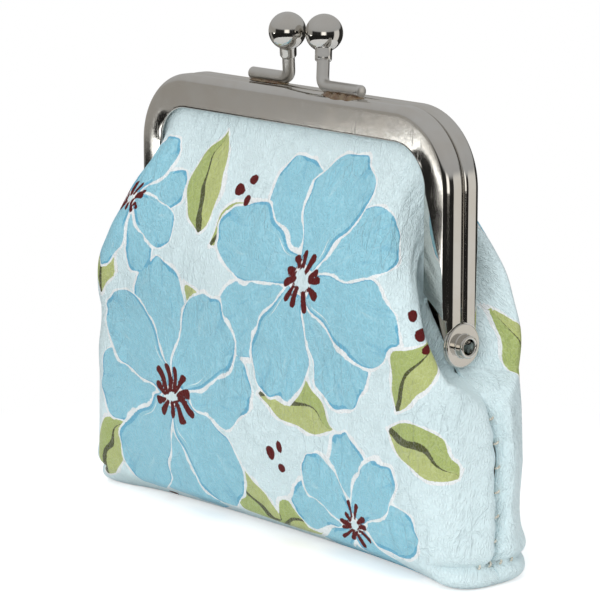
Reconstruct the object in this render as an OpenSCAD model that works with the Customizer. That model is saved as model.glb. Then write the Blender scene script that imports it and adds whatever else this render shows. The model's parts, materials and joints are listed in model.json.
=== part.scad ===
// Kiss-lock coin purse: a boxed leather pouch hung in two hinged channel frames with a two-ball clasp.
// Millimetres, +Z up, front toward -Y. The base stands on Z = 0 and the hinge axis lies along X at Y = 0.

/* [Frame] */
// Width of the frame across its two arms
frame_w = 100; // [84:1:120]
// Height of the frame above the hinge axis
frame_h = 47.5; // [42:0.5:60]
// Width of the channel's face
face_w = 7.1; // [6.4:0.1:8]
// Depth of one frame half
half_d = 4.7; // [4.5:0.1:6]
// Radius of the frame's outer corners
corner_r = 16; // [12:0.5:20]
// Thickness of the frame's sheet metal
sheet_t = 0.6; // [0.4:0.05:0.7]
// Radius of the crown across the face
crown_r = 14; // [10:0.5:30]
// Radius of the fold from the face to the web
front_fold_r = 2; // [1.4:0.1:2.4]
// Radius of the fold from the web to the back plate
back_fold_r = 1; // [0.8:0.1:1.2]
// Gap between the two halves when closed
parting_gap = 0.3; // [0.2:0.05:0.6]
// Height above the hinge axis of the face's inner lower corner
face_low = 10; // [9.5:0.1:14]
// Width of the face where its lower edge turns toward the ear
strip_w = 3.4; // [2.4:0.1:4.5]
// Height above the hinge axis where the channel's back plate ends
back_plate_low = 9; // [8.6:0.1:10.5]

/* [Hinge] */
// Height of the hinge axis above the base
hinge_z = 48; // [42:0.5:60]
// Radius of the round ears
ear_r = 4.6; // [4.2:0.1:5]
// Gap between the outer ear and the front arm cut round it
ear_gap = 0.35; // [0.25:0.05:0.6]
// Side gap between the two ears
ear_slip = 0.1; // [0.05:0.05:0.2]
// Radius of the rivet's shank
rivet_r = 1.9; // [1.6:0.05:2.1]
// Radial clearance of the ears on the shank
rivet_fit = 0.05; // [0.03:0.01:0.1]
// Radius of the rivet's bore
rivet_bore_r = 1.55; // [1.2:0.05:1.6]
// Radius of the rivet's outer tube
rivet_head_r = 2.35; // [2.2:0.05:2.8]
// Length of the rivet's outer tube beyond the ear
rivet_stand = 1.9; // [1:0.1:2.5]
// Radius of the flange clinched inside the ears
rivet_clinch_r = 2.8; // [2.4:0.1:3.4]
// Thickness of the clinched flange
rivet_clinch_t = 0.45; // [0.3:0.05:0.6]

/* [Clasp] */
// Diameter of the two balls
ball_d = 8; // [6:0.1:10]
// Gap that the balls pass each other with
ball_pass = 0.2; // [0.1:0.05:0.6]
// Distance of each ball's centre beyond the parting plane
ball_cross = 1.55; // [0.8:0.05:2]
// Height of the balls' centres above the bars
ball_rise = 10.6; // [9:0.1:13]
// Sideways run of each post from its elbow to its ball
post_run = 3.3; // [2:0.1:4.5]
// Diameter of the post wire
wire_d = 2.5; // [2:0.1:2.8]
// Radius of the elbow's centre line
elbow_r = 2.6; // [2:0.1:3.4]
// Reach of each bar from the clasp's middle
bar_reach = 19.2; // [16:0.2:24]
// Distance of the bars from the parting plane
bar_y = 1.75; // [1.5:0.05:2]
// Sideways place of the clasp's middle
clasp_x = 1.2; // [-3:0.1:3]
// Diameter of the collar under each ball
collar_d = 3.6; // [3.2:0.1:4.4]
// Length of the collar below the ball
collar_len = 2.2; // [1.5:0.1:3]
// Amount that the post is turned down above the elbow
post_step = 0.1; // [0.08:0.02:0.3]
// Radial clearance of the post in the ball's bore
post_fit = 0.05; // [0.03:0.01:0.1]
// Depth of the post inside the ball
post_depth = 2.5; // [1.5:0.1:3.5]
// Length of the solder along each bar
solder_len = 7; // [5:0.5:9]
// Height of the solder beside each bar
solder_h = 0.9; // [0.5:0.1:1.1]

/* [Pouch] */
// Half width of the pouch at its base
base_half_w = 57; // [50:0.5:66]
// Half width of the pouch at its widest
body_half_w = 59.5; // [54:0.5:70]
// Half width of the pouch at its mouth
mouth_half_w = 58.5; // [54:0.5:68]
// Half depth of the pouch at its base
base_half_d = 12; // [10:0.5:15]
// Half depth of the pouch's corners at its widest
body_half_d = 14.6; // [12:0.2:18]
// Half depth of the pouch's corners at its mouth
mouth_half_d = 13.8; // [12:0.2:17]
// Height of the widest level
body_z = 22; // [16:1:28]
// Plan radius of the base's corners
base_corner_r = 6; // [5:0.5:9]
// Plan radius of the pouch's corners at its widest and its mouth
body_corner_r = 9; // [7:0.5:11]
// Extra depth of the soft front and rear at the middle
belly = 2.4; // [0:0.2:5]
// Draw-in of the base's long edges at their middle
base_waist = 1.2; // [0:0.1:3]
// Radius of the roll round the base
base_roll_r = 3.2; // [2:0.2:5]
// Height of the corner seams above the base
corner_seam_z = 4.8; // [4.2:0.2:7]
// Depth of the seam valleys
seam_depth = 0.9; // [0.5:0.1:1.6]
// Half width of the side seam valleys
seam_half_w = 1.5; // [1:0.1:2.5]
// Drop of the pouch's mouth below the hinge axis
mouth_drop = 5.6; // [5.4:0.1:8]
// Clearance of the tucked seam ends inside the ears
tuck_gap = 0.5; // [0.3:0.1:1.5]
// Half width of the hollow that the leather leaves round the ears
tuck_half_w = 7.6; // [7:0.1:9]
// Thickness of the leather
leather_t = 1; // [0.7:0.05:1.2]
// Thickness of the lining
lining_t = 0.3; // [0.2:0.05:0.4]
// Slip between layers, and between the leather and the channel
layer_gap = 0.12; // [0.08:0.01:0.2]
// Height above the hinge axis where the panels start to fold
fold_top = 13.5; // [12:0.5:16]
// Depth that the panels run into the channel
tuck_depth = 4; // [3:0.1:4.4]
// Fullness of the panels over the frame's arms
puff = 4.5; // [1:0.25:6]
// Diameter of the paper cord that wedges the leather in the channel
cord_d = 1.1; // [0.8:0.05:1.2]
// Height of the first side stitch
stitch_z = 9; // [7:0.5:12]
// Spacing of the side stitches
stitch_pitch = 5; // [3.5:0.25:8]
// Diameter of the thread
thread_d = 0.6; // [0.4:0.05:0.8]
// Length of one stitch
stitch_len = 2.6; // [2:0.1:3.5]
// Spacing of the corner stitches
corner_pitch = 4; // [3:0.25:5]

/* [Hidden] */
$fn = 64;
nickel = [0.72, 0.71, 0.68];
aqua = [0.74, 0.86, 0.9];
cloth = [0.88, 0.86, 0.8];
paper = [0.8, 0.72, 0.58];
thread = [0.93, 0.9, 0.82];
tin = [0.62, 0.6, 0.55];
slack = 1;                                   // overrun that makes cutters pass through a face
arm_x = frame_w / 2;
top_z = hinge_z + frame_h;
corner_z = top_z - corner_r;
half_gap = parting_gap / 2;
inner_ear_x = arm_x - 2 * sheet_t - ear_slip; // inward face of the front half's ears
// the crown's drop at the edges of the face
crown_drop = crown_r - sqrt(crown_r * crown_r - face_w * face_w / 4);
// the step from the front arm to its inner ear: its ends above the hinge axis, and its edges in depth
joggle_low = ear_r + ear_gap + parting_gap / 2;
joggle_top = back_plate_low - sheet_t;
strip_cut = 2.3;                             // height of the steep part of the face's lower edge
neck_front = half_d - 2 * sheet_t;
neck_back = half_gap + sheet_t / 2;
// clasp: the elbow's corner, the post's length and its two angles
bar_z = top_z + wire_d / 2;
elbow_x = (ball_d + ball_pass) / 2 + post_run;
post_len = norm([post_run, ball_cross + bar_y, ball_rise]);
post_tilt = asin(post_run / post_len);
post_lean = atan2(ball_cross + bar_y, ball_rise);
elbow_run = elbow_r * tan((90 - post_tilt) / 2);
pin_start = 0.4;                             // overlap of the post's turned part with its elbow
solder_end = 1.5;                            // distance of the solder from the bar's end
solder_cut = 0.45;                           // share of the solder's height hollowed from its sides
// layers in the channel, as depths from the parting plane
leather_y = half_d - crown_drop - sheet_t - layer_gap;
lining_in = leather_t + layer_gap;
mouth_z = hinge_z - mouth_drop;
tuck_x = inner_ear_x - rivet_clinch_t - tuck_gap - rivet_fit;
end_clear = 0.5;                             // clearance of the cord's ends above the back plate's ends
cord_y = half_gap + sheet_t + layer_gap / 2 + cord_d / 2;
ring_steps = 14;                             // steps in a quarter of the pouch's outline
panel_cols = 36;                             // columns of a panel
split_row = 7;                               // its rows down to the fold
panel_rows = 11;                             // its rows down to the pouch's mouth
// shape of the soft cover: heights over which the seam valleys deepen and widen toward the ears
valley_fade = 3.2;
valley_spread = 4;
seam_band = 0.9;                             // height of the corner seam's groove
lip_run = 0.6;                               // run of the leather past the channel's lip
exit_pull = [9, 4];                          // length and rise of its first bend, at the top and the arms
exit_rise = [1.5, 5];
fall_swell = 3;                              // swell and length of its fall to the pouch's mouth
fall_side = 2;
fall_pull = 18;
arm_span = [0.62, 0.12];                     // share of a panel's half that counts as beside the arm
tuck_span = 0.09;                            // share that is gathered beside the ear
lip_drop = 3;                                // least fall from the channel's lip to the fold
halvings = 24;                               // steps in the search for the fold's height
crowding = 1.5;                              // power that crowds outline points toward the side seams

function mix(a, b, t) = a + (b - a) * t;
function ease(a, b, x) = let (t = max(0, min(1, (x - a) / (b - a)))) t * t * (3 - 2 * t);
// the parabola through three heights and their values
function bow(z, h, v) = v[0] * (z - h[1]) * (z - h[2]) / ((h[0] - h[1]) * (h[0] - h[2]))
    + v[1] * (z - h[0]) * (z - h[2]) / ((h[1] - h[0]) * (h[1] - h[2]))
    + v[2] * (z - h[0]) * (z - h[1]) / ((h[2] - h[0]) * (h[2] - h[1]));
levels = [0, body_z, mouth_z];

// The pouch's outline at height z is a rounded rectangle, rolled in at the base, bellied in the middle,
// and with a valley at each side seam that deepens to the ears. q runs 0 at the seam to 1 at mid front.
function roll_in(z) = z < base_roll_r ? base_roll_r - sqrt(base_roll_r ^ 2 - (base_roll_r - z) ^ 2) : 0;
function out_w(z) = bow(z, levels, [base_half_w, body_half_w, mouth_half_w]) - roll_in(z)
    - seam_depth * exp(-((z - corner_seam_z) / seam_band) ^ 2) / 2;
function out_d(z) = bow(z, levels, [base_half_d, body_half_d, mouth_half_d]) - roll_in(z);
function out_r(z) = min(out_d(z) - leather_t, mix(base_corner_r, body_corner_r, ease(0, body_z, z)));
function valley(z) = seam_depth * ease(0, 2 * corner_seam_z, z)
    + (out_w(mouth_z) - tuck_x - seam_depth) * exp((z - mouth_z) / valley_fade);
function valley_w(z) = seam_half_w + (tuck_half_w - seam_half_w) * exp((z - mouth_z) / valley_spread);
function valley_power(z) = 2 + 2 * exp((z - mouth_z) / valley_spread);
function outline(q, z) = let (
    w = out_w(z), d = out_d(z), r = out_r(z),
    arc = r * PI / 2, len = q * (d - r + arc + w - r),
    turn = (len - d + r) / r * 180 / PI,
    flat = len < d - r ? [w, len]
        : len < d - r + arc ? [w - r + r * cos(turn), d - r + r * sin(turn)]
        : [w - r - (len - d + r - arc), d],
    swell = belly * ease(0, body_z, z) - base_waist * ease(body_z / 2, 0, z),
    bellied = flat[1] * (1 + swell / d * (1 - (flat[0] / w) ^ 2) ^ 2))
    [flat[0] - valley(z) * exp(-(bellied / valley_w(z)) ^ valley_power(z)), bellied];
// the same point moved inward by t along the outline's normal
function inset(q, z, t) = let (
    step = 0.004, a = outline(max(0, q - step), z), b = outline(min(1, q + step), z),
    c = outline(q, z), along = (b - a) / norm(b - a))
    q <= 0 ? [c[0] - t, 0] : q >= 1 ? [0, c[1] - t] : [c[0] - t * along[1], c[1] + t * along[0]];
// quarter positions crowded toward the seam, where the valley is tight
quarter = [for (i = [0:ring_steps]) (i / ring_steps) ^ crowding];
function ring(z, t) = let (n = ring_steps, p = [for (q = quarter) inset(q, z, t)]) concat(
    [for (i = [0:n]) [p[i][0], p[i][1], z]], [for (i = [1:n]) [-p[n - i][0], p[n - i][1], z]],
    [for (i = [1:n]) [-p[i][0], -p[i][1], z]], [for (i = [1:n - 1]) [p[n - i][0], -p[n - i][1], z]]);

// A cup between an outer and an inner stack of rings, with a flat base, a flat floor and a flat rim.
module cup(outer, inner) {
    n = len(outer[0]);
    rows = len(outer);
    m = n * rows;
    function at(k, j) = (k % n) + n * j;
    points = concat([for (r = outer) each r], [for (r = inner) each r]);
    walls = [for (j = [0:rows - 2], k = [0:n - 1]) each [
        [at(k, j), at(k, j + 1), at(k + 1, j + 1)], [at(k, j), at(k + 1, j + 1), at(k + 1, j)],
        [m + at(k, j), m + at(k + 1, j + 1), m + at(k, j + 1)],
        [m + at(k, j), m + at(k + 1, j), m + at(k + 1, j + 1)]]];
    rim = [for (k = [0:n - 1]) each [
        [at(k, rows - 1), m + at(k, rows - 1), m + at(k + 1, rows - 1)],
        [at(k, rows - 1), m + at(k + 1, rows - 1), at(k + 1, rows - 1)]]];
    polyhedron(points, concat(walls, rim,
        [[for (k = [0:n - 1]) k]], [[for (k = [n - 1:-1:0]) m + k]]), 10);
}

// A sheet between two grids of points, closed along its four edges.
module slab(outer, inner) {
    cols = len(outer);
    rows = len(outer[0]);
    m = cols * rows;
    function at(i, j) = i * rows + j;
    points = concat([for (c = outer) each c], [for (c = inner) each c]);
    skins = [for (i = [0:cols - 2], j = [0:rows - 2]) each [
        [at(i, j), at(i + 1, j), at(i + 1, j + 1)], [at(i, j), at(i + 1, j + 1), at(i, j + 1)],
        [m + at(i, j), m + at(i + 1, j + 1), m + at(i + 1, j)],
        [m + at(i, j), m + at(i, j + 1), m + at(i + 1, j + 1)]]];
    long_edges = [for (i = [0:cols - 2]) each [
        [at(i, 0), m + at(i, 0), m + at(i + 1, 0)], [at(i, 0), m + at(i + 1, 0), at(i + 1, 0)],
        [at(i, rows - 1), at(i + 1, rows - 1), m + at(i + 1, rows - 1)],
        [at(i, rows - 1), m + at(i + 1, rows - 1), m + at(i, rows - 1)]]];
    short_edges = [for (j = [0:rows - 2]) each [
        [m + at(0, j), at(0, j), at(0, j + 1)], [m + at(0, j), at(0, j + 1), m + at(0, j + 1)],
        [at(cols - 1, j), m + at(cols - 1, j), m + at(cols - 1, j + 1)],
        [at(cols - 1, j), m + at(cols - 1, j + 1), at(cols - 1, j + 1)]]];
    polyhedron(points, concat(skins, long_edges, short_edges), 10);
}

// The channel's track on the right side: up the arm, round the corner and along the top to the middle.
// inset_e is the distance in from the frame's outer edge, p runs 0 at the arm's low end to 1 at the middle.
function track(p, inset_e) = let (
    r = corner_r - inset_e, arc = r * PI / 2,
    low = hinge_z + back_plate_low + 2 * end_clear, arm = corner_z - low,
    len = p * (arm + arc + arm_x - corner_r), turn = (len - arm) / r * 180 / PI)
    len < arm ? [arm_x - inset_e, low + len, -1, 0]
    : len < arm + arc
        ? [arm_x - corner_r + r * cos(turn), corner_z + r * sin(turn), -cos(turn), -sin(turn)]
    : [arm_x - corner_r - (len - arm - arc), corner_z + r, 0, -1];
// One line of a panel: straight out of the channel, then a curve that swells over the arm and falls
// to the pouch's mouth. p is 0 at the side seam and 1 at mid front.
function panel_curve(p) = let (
    deep = track(p, face_w - tuck_depth), edge = track(p, face_w),
    side = ease(arm_span[0], arm_span[1], p), loose = 1 - ease(tuck_span, 0, p),
    foot = outline(p, mouth_z),
    base = [foot[0], -max(foot[1], parting_gap), mouth_z],
    start = [min(deep[0], tuck_x), -leather_y, deep[1]],
    lip = [edge[0], -leather_y, edge[1]],
    mouth = lip + [edge[2], 0, edge[3]] * lip_run,
    pull = mix(exit_pull[0], exit_pull[1], side),
    rise = mix(exit_rise[0], exit_rise[1], side) * loose,
    hand1 = mouth + [edge[2] * pull, -rise, edge[3] * pull],
    hand2 = base + [fall_side * side, -mix(fall_swell, puff, side), fall_pull] * loose
        + [0, 0, fall_pull / 3] * (1 - loose))
    [start, mouth, hand1, hand2, base];
function on_curve(c, t) = let (u = 1 - t)
    c[1] * u ^ 3 + c[2] * 3 * t * u ^ 2 + c[3] * 3 * t ^ 2 * u + c[4] * t ^ 3;
// where along a curve it falls to height z, by halving
function fall_to(c, z, a, b, n) = let (m = (a + b) / 2)
    n == 0 ? m : on_curve(c, m)[2] > z ? fall_to(c, z, m, b, n - 1) : fall_to(c, z, a, m, n - 1);
function panel_line(p, k) = let (
    c = panel_curve(p), split = fall_to(c, min(hinge_z + fold_top, c[1][2] - lip_drop), 0, 1, halvings),
    t = k <= split_row ? split * (k - 2) / (split_row - 2)
        : mix(split, 1, (k - split_row) / (panel_rows - split_row)))
    k == 0 ? c[0] : k == 1 ? (c[0] + c[1]) / 2 : on_curve(c, t);
function column_p(i) = let (s = 2 * i / panel_cols - 1) 1 - abs(s);
function panel_point(i, k) = let (v = panel_line(column_p(i), k))
    i < panel_cols / 2 ? [-v[0], v[1], v[2]] : v;
panel_grid = [for (i = [0:panel_cols]) [for (k = [0:panel_rows]) panel_point(i, k)]];
function unit(v) = v / norm(v);
// the grid moved inward by t along its own normals, with its foot and its tucked edge kept level
function moved(grid, t) = let (cols = len(grid) - 1, rows = len(grid[0]) - 1)
    [for (i = [0:cols]) [for (k = [0:rows]) let (
        across = grid[min(cols, i + 1)][k] - grid[max(0, i - 1)][k],
        down = grid[i][min(rows, k + 1)] - grid[i][max(0, k - 1)],
        n = unit(cross(across, down)),
        level = unit([n[0], n[1], 0]),
        dir = k < 2 ? [0, 1, 0] : k == rows ? level : n)
        grid[i][k] + dir * t]];

function rows_of(grid, a, b) = [for (column = grid) [for (k = [a:b]) column[k]]];

// Section of the front half's channel: x from the face's inner edge outward, y toward the parting plane.
module rounded(x0, x1, y0, y1, front_r, back_r) {
    translate([x0, y0 + front_r]) square([x1 - x0, y1 - y0 - front_r - back_r]);
    translate([x0, y0]) square([x1 - x0 - front_r, front_r]);
    translate([x0, y1 - back_r]) square([x1 - x0 - back_r, back_r]);
    translate([x1 - front_r, y0 + front_r]) circle(r = front_r);
    translate([x1 - back_r, y1 - back_r]) circle(r = back_r);
}
module channel_section() {
    difference() {
        intersection() {
            rounded(0, face_w, -half_d, -half_gap, front_fold_r, back_fold_r);
            translate([face_w / 2, crown_r - half_d]) circle(r = crown_r);
        }
        intersection() {
            rounded(-slack, face_w - sheet_t, sheet_t - half_d, -half_gap - sheet_t,
                front_fold_r - sheet_t, back_fold_r - sheet_t);
            translate([face_w / 2, crown_r - half_d]) circle(r = crown_r - sheet_t);
        }
    }
}
module channel() {
    for (side = [0, 1]) mirror([side, 0, 0]) {
        difference() {
            translate([arm_x - face_w, 0, hinge_z]) linear_extrude(corner_z - hinge_z) channel_section();
            // the back plate ends above the ear
            translate([arm_x - face_w - slack, -half_gap - back_fold_r, hinge_z - slack])
                cube([face_w + slack - sheet_t, back_fold_r + slack, back_plate_low + slack]);
            // the face's lower edge slopes to the ear, and beside the ear only the web is left
            translate([arm_x, -half_d / 2, hinge_z]) rotate([90, 0, 0]) linear_extrude(half_d)
                polygon([[-face_w - slack, face_low], [-face_w, face_low],
                    [-strip_w, joggle_low + strip_cut], [-sheet_t, joggle_low], [-sheet_t, -slack],
                    [-face_w - slack, -slack]]);
        }
        translate([arm_x - corner_r, 0, corner_z]) rotate([-90, 0, 0]) rotate([0, 0, -90])
            rotate_extrude(angle = 90) translate([corner_r - face_w, 0]) channel_section();
    }
    translate([arm_x - corner_r, 0, top_z - face_w]) rotate([0, -90, 0])
        linear_extrude(frame_w - 2 * corner_r) channel_section();
}
module across_x(x, r, h) {
    translate([x, 0, hinge_z]) rotate([0, 90, 0]) cylinder(r = r, h = h);
}
module front_frame() {
    color(nickel) difference() {
        union() {
            difference() {
                channel();
                for (side = [0, 1]) mirror([side, 0, 0])
                    across_x(arm_x - face_w, ear_r + ear_gap, face_w + slack);
            }
            for (side = [0, 1]) mirror([side, 0, 0]) {
                across_x(inner_ear_x, ear_r, sheet_t);
                // the ear's neck, stepped inward from the arm
                translate([inner_ear_x, -neck_front, hinge_z])
                    cube([sheet_t, neck_front - neck_back, joggle_top]);
                translate([inner_ear_x, -neck_front, hinge_z + joggle_low])
                    cube([arm_x - inner_ear_x - sheet_t / 2, neck_front - 2 * neck_back,
                        joggle_top - joggle_low]);
            }
        }
        across_x(-frame_w, rivet_r + rivet_fit, 2 * frame_w);
    }
}
module rear_frame() {
    color(nickel) difference() {
        union() {
            rotate([0, 0, 180]) channel();
            for (side = [0, 1]) mirror([side, 0, 0]) across_x(arm_x - sheet_t, ear_r, sheet_t);
        }
        // the rivets are pressed into the rear half's ears
        across_x(-frame_w, rivet_r, 2 * frame_w);
    }
}

// A hollow rivet: a flange clinched inside the ears, the shank, and a tube with a rounded lip outside.
module right_rivet() {
    ears = arm_x - inner_ear_x;
    inside = -rivet_fit - rivet_clinch_t;
    lip_r = (rivet_head_r - rivet_bore_r) / 2;
    color(nickel) translate([inner_ear_x, 0, hinge_z]) rotate([0, 90, 0]) rotate_extrude() difference() {
        union() {
            translate([0, inside]) square([rivet_clinch_r, rivet_clinch_t]);
            translate([0, inside]) square([rivet_r, ears - inside + rivet_stand / 2]);
            translate([0, ears]) square([rivet_head_r, rivet_stand - lip_r]);
            translate([rivet_bore_r + lip_r, ears + rivet_stand - lip_r]) circle(r = lip_r);
        }
        translate([0, inside - slack]) square([rivet_bore_r, ears - inside + rivet_stand + 2 * slack]);
    }
}
module left_rivet() {
    mirror([1, 0, 0]) right_rivet();
}

// Clasp of the front half, in place. The rear one is the same, turned half round the clasp's middle.
module on_post() {
    translate([clasp_x + elbow_x, -bar_y, bar_z]) rotate([-post_lean, 0, 0]) children();
}
module on_ball() {
    on_post() rotate([0, -post_tilt, 0]) translate([0, 0, post_len]) children();
}
module post_shape() {
    end = post_len - ball_d / 2 + post_depth;
    on_post() {
        translate([elbow_run, 0, 0]) rotate([0, 90, 0])
            cylinder(d = wire_d, h = bar_reach - elbow_x - elbow_run);
        translate([elbow_run, 0, elbow_r]) rotate([90, 0, 0]) rotate([0, 0, 180 + post_tilt])
            rotate_extrude(angle = 90 - post_tilt) translate([elbow_r, 0]) circle(d = wire_d);
        // the turned part starts inside the elbow's end
        rotate([0, -post_tilt, 0]) translate([0, 0, elbow_run - pin_start])
            cylinder(d = wire_d - post_step, h = end - elbow_run + pin_start);
    }
}
module ball_shape() {
    on_ball() difference() {
        union() {
            sphere(d = ball_d);
            translate([0, 0, -ball_d / 2 - collar_len]) cylinder(d = collar_d, h = collar_len + ball_d / 4);
        }
        translate([0, 0, -ball_d / 2 - collar_len - slack])
            cylinder(d = wire_d - post_step + 2 * post_fit, h = collar_len + slack + post_depth + post_fit);
    }
}
module solder_shape() {
    translate([clasp_x + bar_reach - solder_len - solder_end, -bar_y, top_z]) rotate([90, 0, 90])
        linear_extrude(solder_len) difference() {
            translate([-wire_d / 2, 0]) square([wire_d, solder_h]);
            translate([0, wire_d / 2]) circle(d = wire_d);
            for (y = [-wire_d / 2, wire_d / 2]) translate([y, solder_h]) circle(r = solder_h * solder_cut);
        }
}
module turned() {
    translate([clasp_x, 0, 0]) rotate([0, 0, 180]) translate([-clasp_x, 0, 0]) children();
}
module front_post() {
    color(nickel) post_shape();
}
module rear_post() {
    color(nickel) turned() post_shape();
}
module front_ball() {
    color(nickel) ball_shape();
}
module rear_ball() {
    color(nickel) turned() ball_shape();
}
module front_solder() {
    color(tin) solder_shape();
}
module rear_solder() {
    color(tin) turned() solder_shape();
}

// Paper cord pressed behind the leather in the channel.
module front_cord() {
    e = sheet_t + layer_gap + cord_d / 2;
    low = hinge_z + back_plate_low + end_clear;
    color(paper) {
        for (side = [0, 1]) mirror([side, 0, 0]) {
            translate([arm_x - e, -cord_y, low]) cylinder(d = cord_d, h = corner_z - low);
            translate([arm_x - corner_r, -cord_y, corner_z]) rotate([90, 0, 0])
                rotate_extrude(angle = 90) translate([corner_r - e, 0]) circle(d = cord_d);
        }
        translate([corner_r - arm_x, -cord_y, top_z - e]) rotate([0, 90, 0])
            cylinder(d = cord_d, h = frame_w - 2 * corner_r);
    }
}
module rear_cord() {
    rotate([0, 0, 180]) front_cord();
}

// heights of the pouch's rings, close together at the rolled base, the corner seam and the mouth
shell_z = [0, base_roll_r * 0.15, base_roll_r * 0.5, base_roll_r, corner_seam_z, corner_seam_z + 1.6,
    body_z * 0.5, body_z, mix(body_z, mouth_z, 0.5), mouth_z - 2 * valley_fade, mouth_z - 0.8 * valley_fade,
    mouth_z];
module cup_between(t0, t1) {
    top = len(shell_z) - 1;
    heights = function (t) [for (i = [0:top]) t + (mouth_z - t) * shell_z[i] / mouth_z];
    cup([for (z = heights(t0)) ring(z, t0)], [for (z = heights(t1)) ring(z, t1)]);
}
module pouch_shell() {
    color(aqua) cup_between(0, leather_t);
}
module pouch_lining() {
    color(cloth) cup_between(lining_in, lining_in + lining_t);
}
// A layer of the front cover between two depths and two rows.
module layer(t0, t1, a, b) {
    slab(rows_of(moved(panel_grid, t0), a, b), rows_of(moved(panel_grid, t1), a, b));
}
module front_panel() {
    color(aqua) layer(0, leather_t, 0, split_row);
}
module front_fold() {
    color(aqua) layer(0, leather_t, split_row, panel_rows);
}
module front_lining() {
    color(cloth) layer(lining_in, lining_in + lining_t, 0, split_row);
}
module front_lining_fold() {
    color(cloth) layer(lining_in, lining_in + lining_t, split_row, panel_rows);
}
module rear_panel() {
    rotate([0, 0, 180]) front_panel();
}
module rear_fold() {
    rotate([0, 0, 180]) front_fold();
}
module rear_lining() {
    rotate([0, 0, 180]) front_lining();
}
module rear_lining_fold() {
    rotate([0, 0, 180]) front_lining_fold();
}

// Stitches bridge the side seam and the corner seam.
module right_side_thread() {
    color(thread) for (z = [stitch_z:stitch_pitch:mouth_z - 2 * valley_spread])
        translate([outline(0, z)[0] + thread_d / 2, stitch_len / 2, z]) rotate([90, 0, 0])
            cylinder(d = thread_d, h = stitch_len);
}
module left_side_thread() {
    mirror([1, 0, 0]) right_side_thread();
}
module right_corner_thread() {
    color(thread) for (k = [-1.5:1:1.5])
        translate([out_w(corner_seam_z), k * corner_pitch, corner_seam_z - stitch_len / 2])
            cylinder(d = thread_d, h = stitch_len);
}
module left_corner_thread() {
    mirror([1, 0, 0]) right_corner_thread();
}

front_frame();
rear_frame();
left_rivet();
right_rivet();
front_post();
rear_post();
front_ball();
rear_ball();
front_solder();
rear_solder();
front_cord();
rear_cord();
pouch_shell();
pouch_lining();
front_panel();
rear_panel();
front_fold();
rear_fold();
front_lining();
rear_lining();
front_lining_fold();
rear_lining_fold();
left_side_thread();
right_side_thread();
left_corner_thread();
right_corner_thread();
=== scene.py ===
import json
import math

import bmesh
import bpy
import numpy as np
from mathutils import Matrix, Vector


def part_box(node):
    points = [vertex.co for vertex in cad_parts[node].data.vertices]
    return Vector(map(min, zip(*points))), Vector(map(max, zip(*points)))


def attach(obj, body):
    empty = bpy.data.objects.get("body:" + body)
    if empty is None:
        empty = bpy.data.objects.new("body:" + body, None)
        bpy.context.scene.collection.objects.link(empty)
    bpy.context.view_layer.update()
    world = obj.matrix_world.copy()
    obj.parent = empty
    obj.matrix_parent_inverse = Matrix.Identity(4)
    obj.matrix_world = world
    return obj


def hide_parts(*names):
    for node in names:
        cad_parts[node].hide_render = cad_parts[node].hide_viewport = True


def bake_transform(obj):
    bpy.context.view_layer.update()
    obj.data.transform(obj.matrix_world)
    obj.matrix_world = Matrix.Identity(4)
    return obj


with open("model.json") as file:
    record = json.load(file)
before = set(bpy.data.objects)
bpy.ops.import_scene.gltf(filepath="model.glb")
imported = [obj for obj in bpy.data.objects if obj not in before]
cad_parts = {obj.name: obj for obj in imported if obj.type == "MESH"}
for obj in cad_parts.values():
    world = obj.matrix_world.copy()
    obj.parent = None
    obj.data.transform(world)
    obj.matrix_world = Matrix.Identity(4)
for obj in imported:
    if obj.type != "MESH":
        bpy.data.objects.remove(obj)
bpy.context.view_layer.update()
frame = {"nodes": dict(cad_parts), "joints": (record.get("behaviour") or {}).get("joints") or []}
mm = 0.001                                   # tables below are in millimetres, meshes in metres
print("frame loaded with", len(frame["nodes"]), "nodes")


def nodeBox(name):
    low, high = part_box(name)
    return np.array(low) / mm, np.array(high) / mm


# driving places, all read from the frame
hingeZ = frame["joints"][0]["pos_m"][2] / mm
frontLow, frontHigh = nodeBox("front_frame")
armX, topZ, halfD = frontHigh[0], frontHigh[2], -frontLow[1]
mouthZ = nodeBox("pouch_shell")[1][2]
earR = frontHigh[1]                          # the front half's ears reach this far behind the hinge axis


# number helpers, all on whole arrays
def mix(a, b, t):
    return a + (b - a) * t


def ease(a, b, x):                           # smooth step from 0 at a to 1 at b
    t = np.clip((x - a) / (b - a), 0, 1)
    return t * t * (3 - 2 * t)


def bell(x, width):
    return np.exp(-(x / width) ** 2)


def waves(x, y, size, seed, count=9):
    # sum of sine waves of about one length in mixed directions, from -1 to 1
    draw = np.random.default_rng(seed)
    turn = draw.uniform(0, math.tau, count)
    pace = draw.uniform(0.7, 1.4, count) * math.tau / size
    phase = draw.uniform(0, math.tau, count)
    total = sum(np.sin((x * np.cos(a) + y * np.sin(a)) * k + f) for a, k, f in zip(turn, pace, phase))
    return total / math.sqrt(count)


def runLength(points, axis):                 # distance along a grid's lines from their first point
    step = np.linalg.norm(np.diff(points, axis=axis), axis=-1)
    return np.insert(np.cumsum(step, axis=axis), 0, 0, axis=axis)


def fullTurn(count):                         # even angles once round
    return np.linspace(0, math.tau, count, endpoint=False)


def sideways(line, *spacing):                # unit directions at right angles to a flat line
    tangent = np.gradient(line, *spacing, axis=0)
    tangent /= np.linalg.norm(tangent, axis=1, keepdims=True)
    return np.stack([-tangent[:, 1], tangent[:, 0]], -1)


def gridNormals(points):                     # outward, for rows that run down and columns that run to the right
    across = np.gradient(points, axis=1)
    down = np.gradient(points, axis=0)
    n = np.cross(down, across)
    return n / np.maximum(np.linalg.norm(n, axis=-1, keepdims=True), 1e-9)


# mesh helpers
def gridFaces(rows, cols, wrapCols, first=0):
    i = np.arange(rows - 1)[:, None] * cols
    j = np.arange(cols if wrapCols else cols - 1)[None, :]
    right = (j + 1) % cols
    quads = np.stack([i + j, i + right, i + cols + right, i + cols + j], -1)
    return quads.reshape(-1, 4) + first


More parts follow.
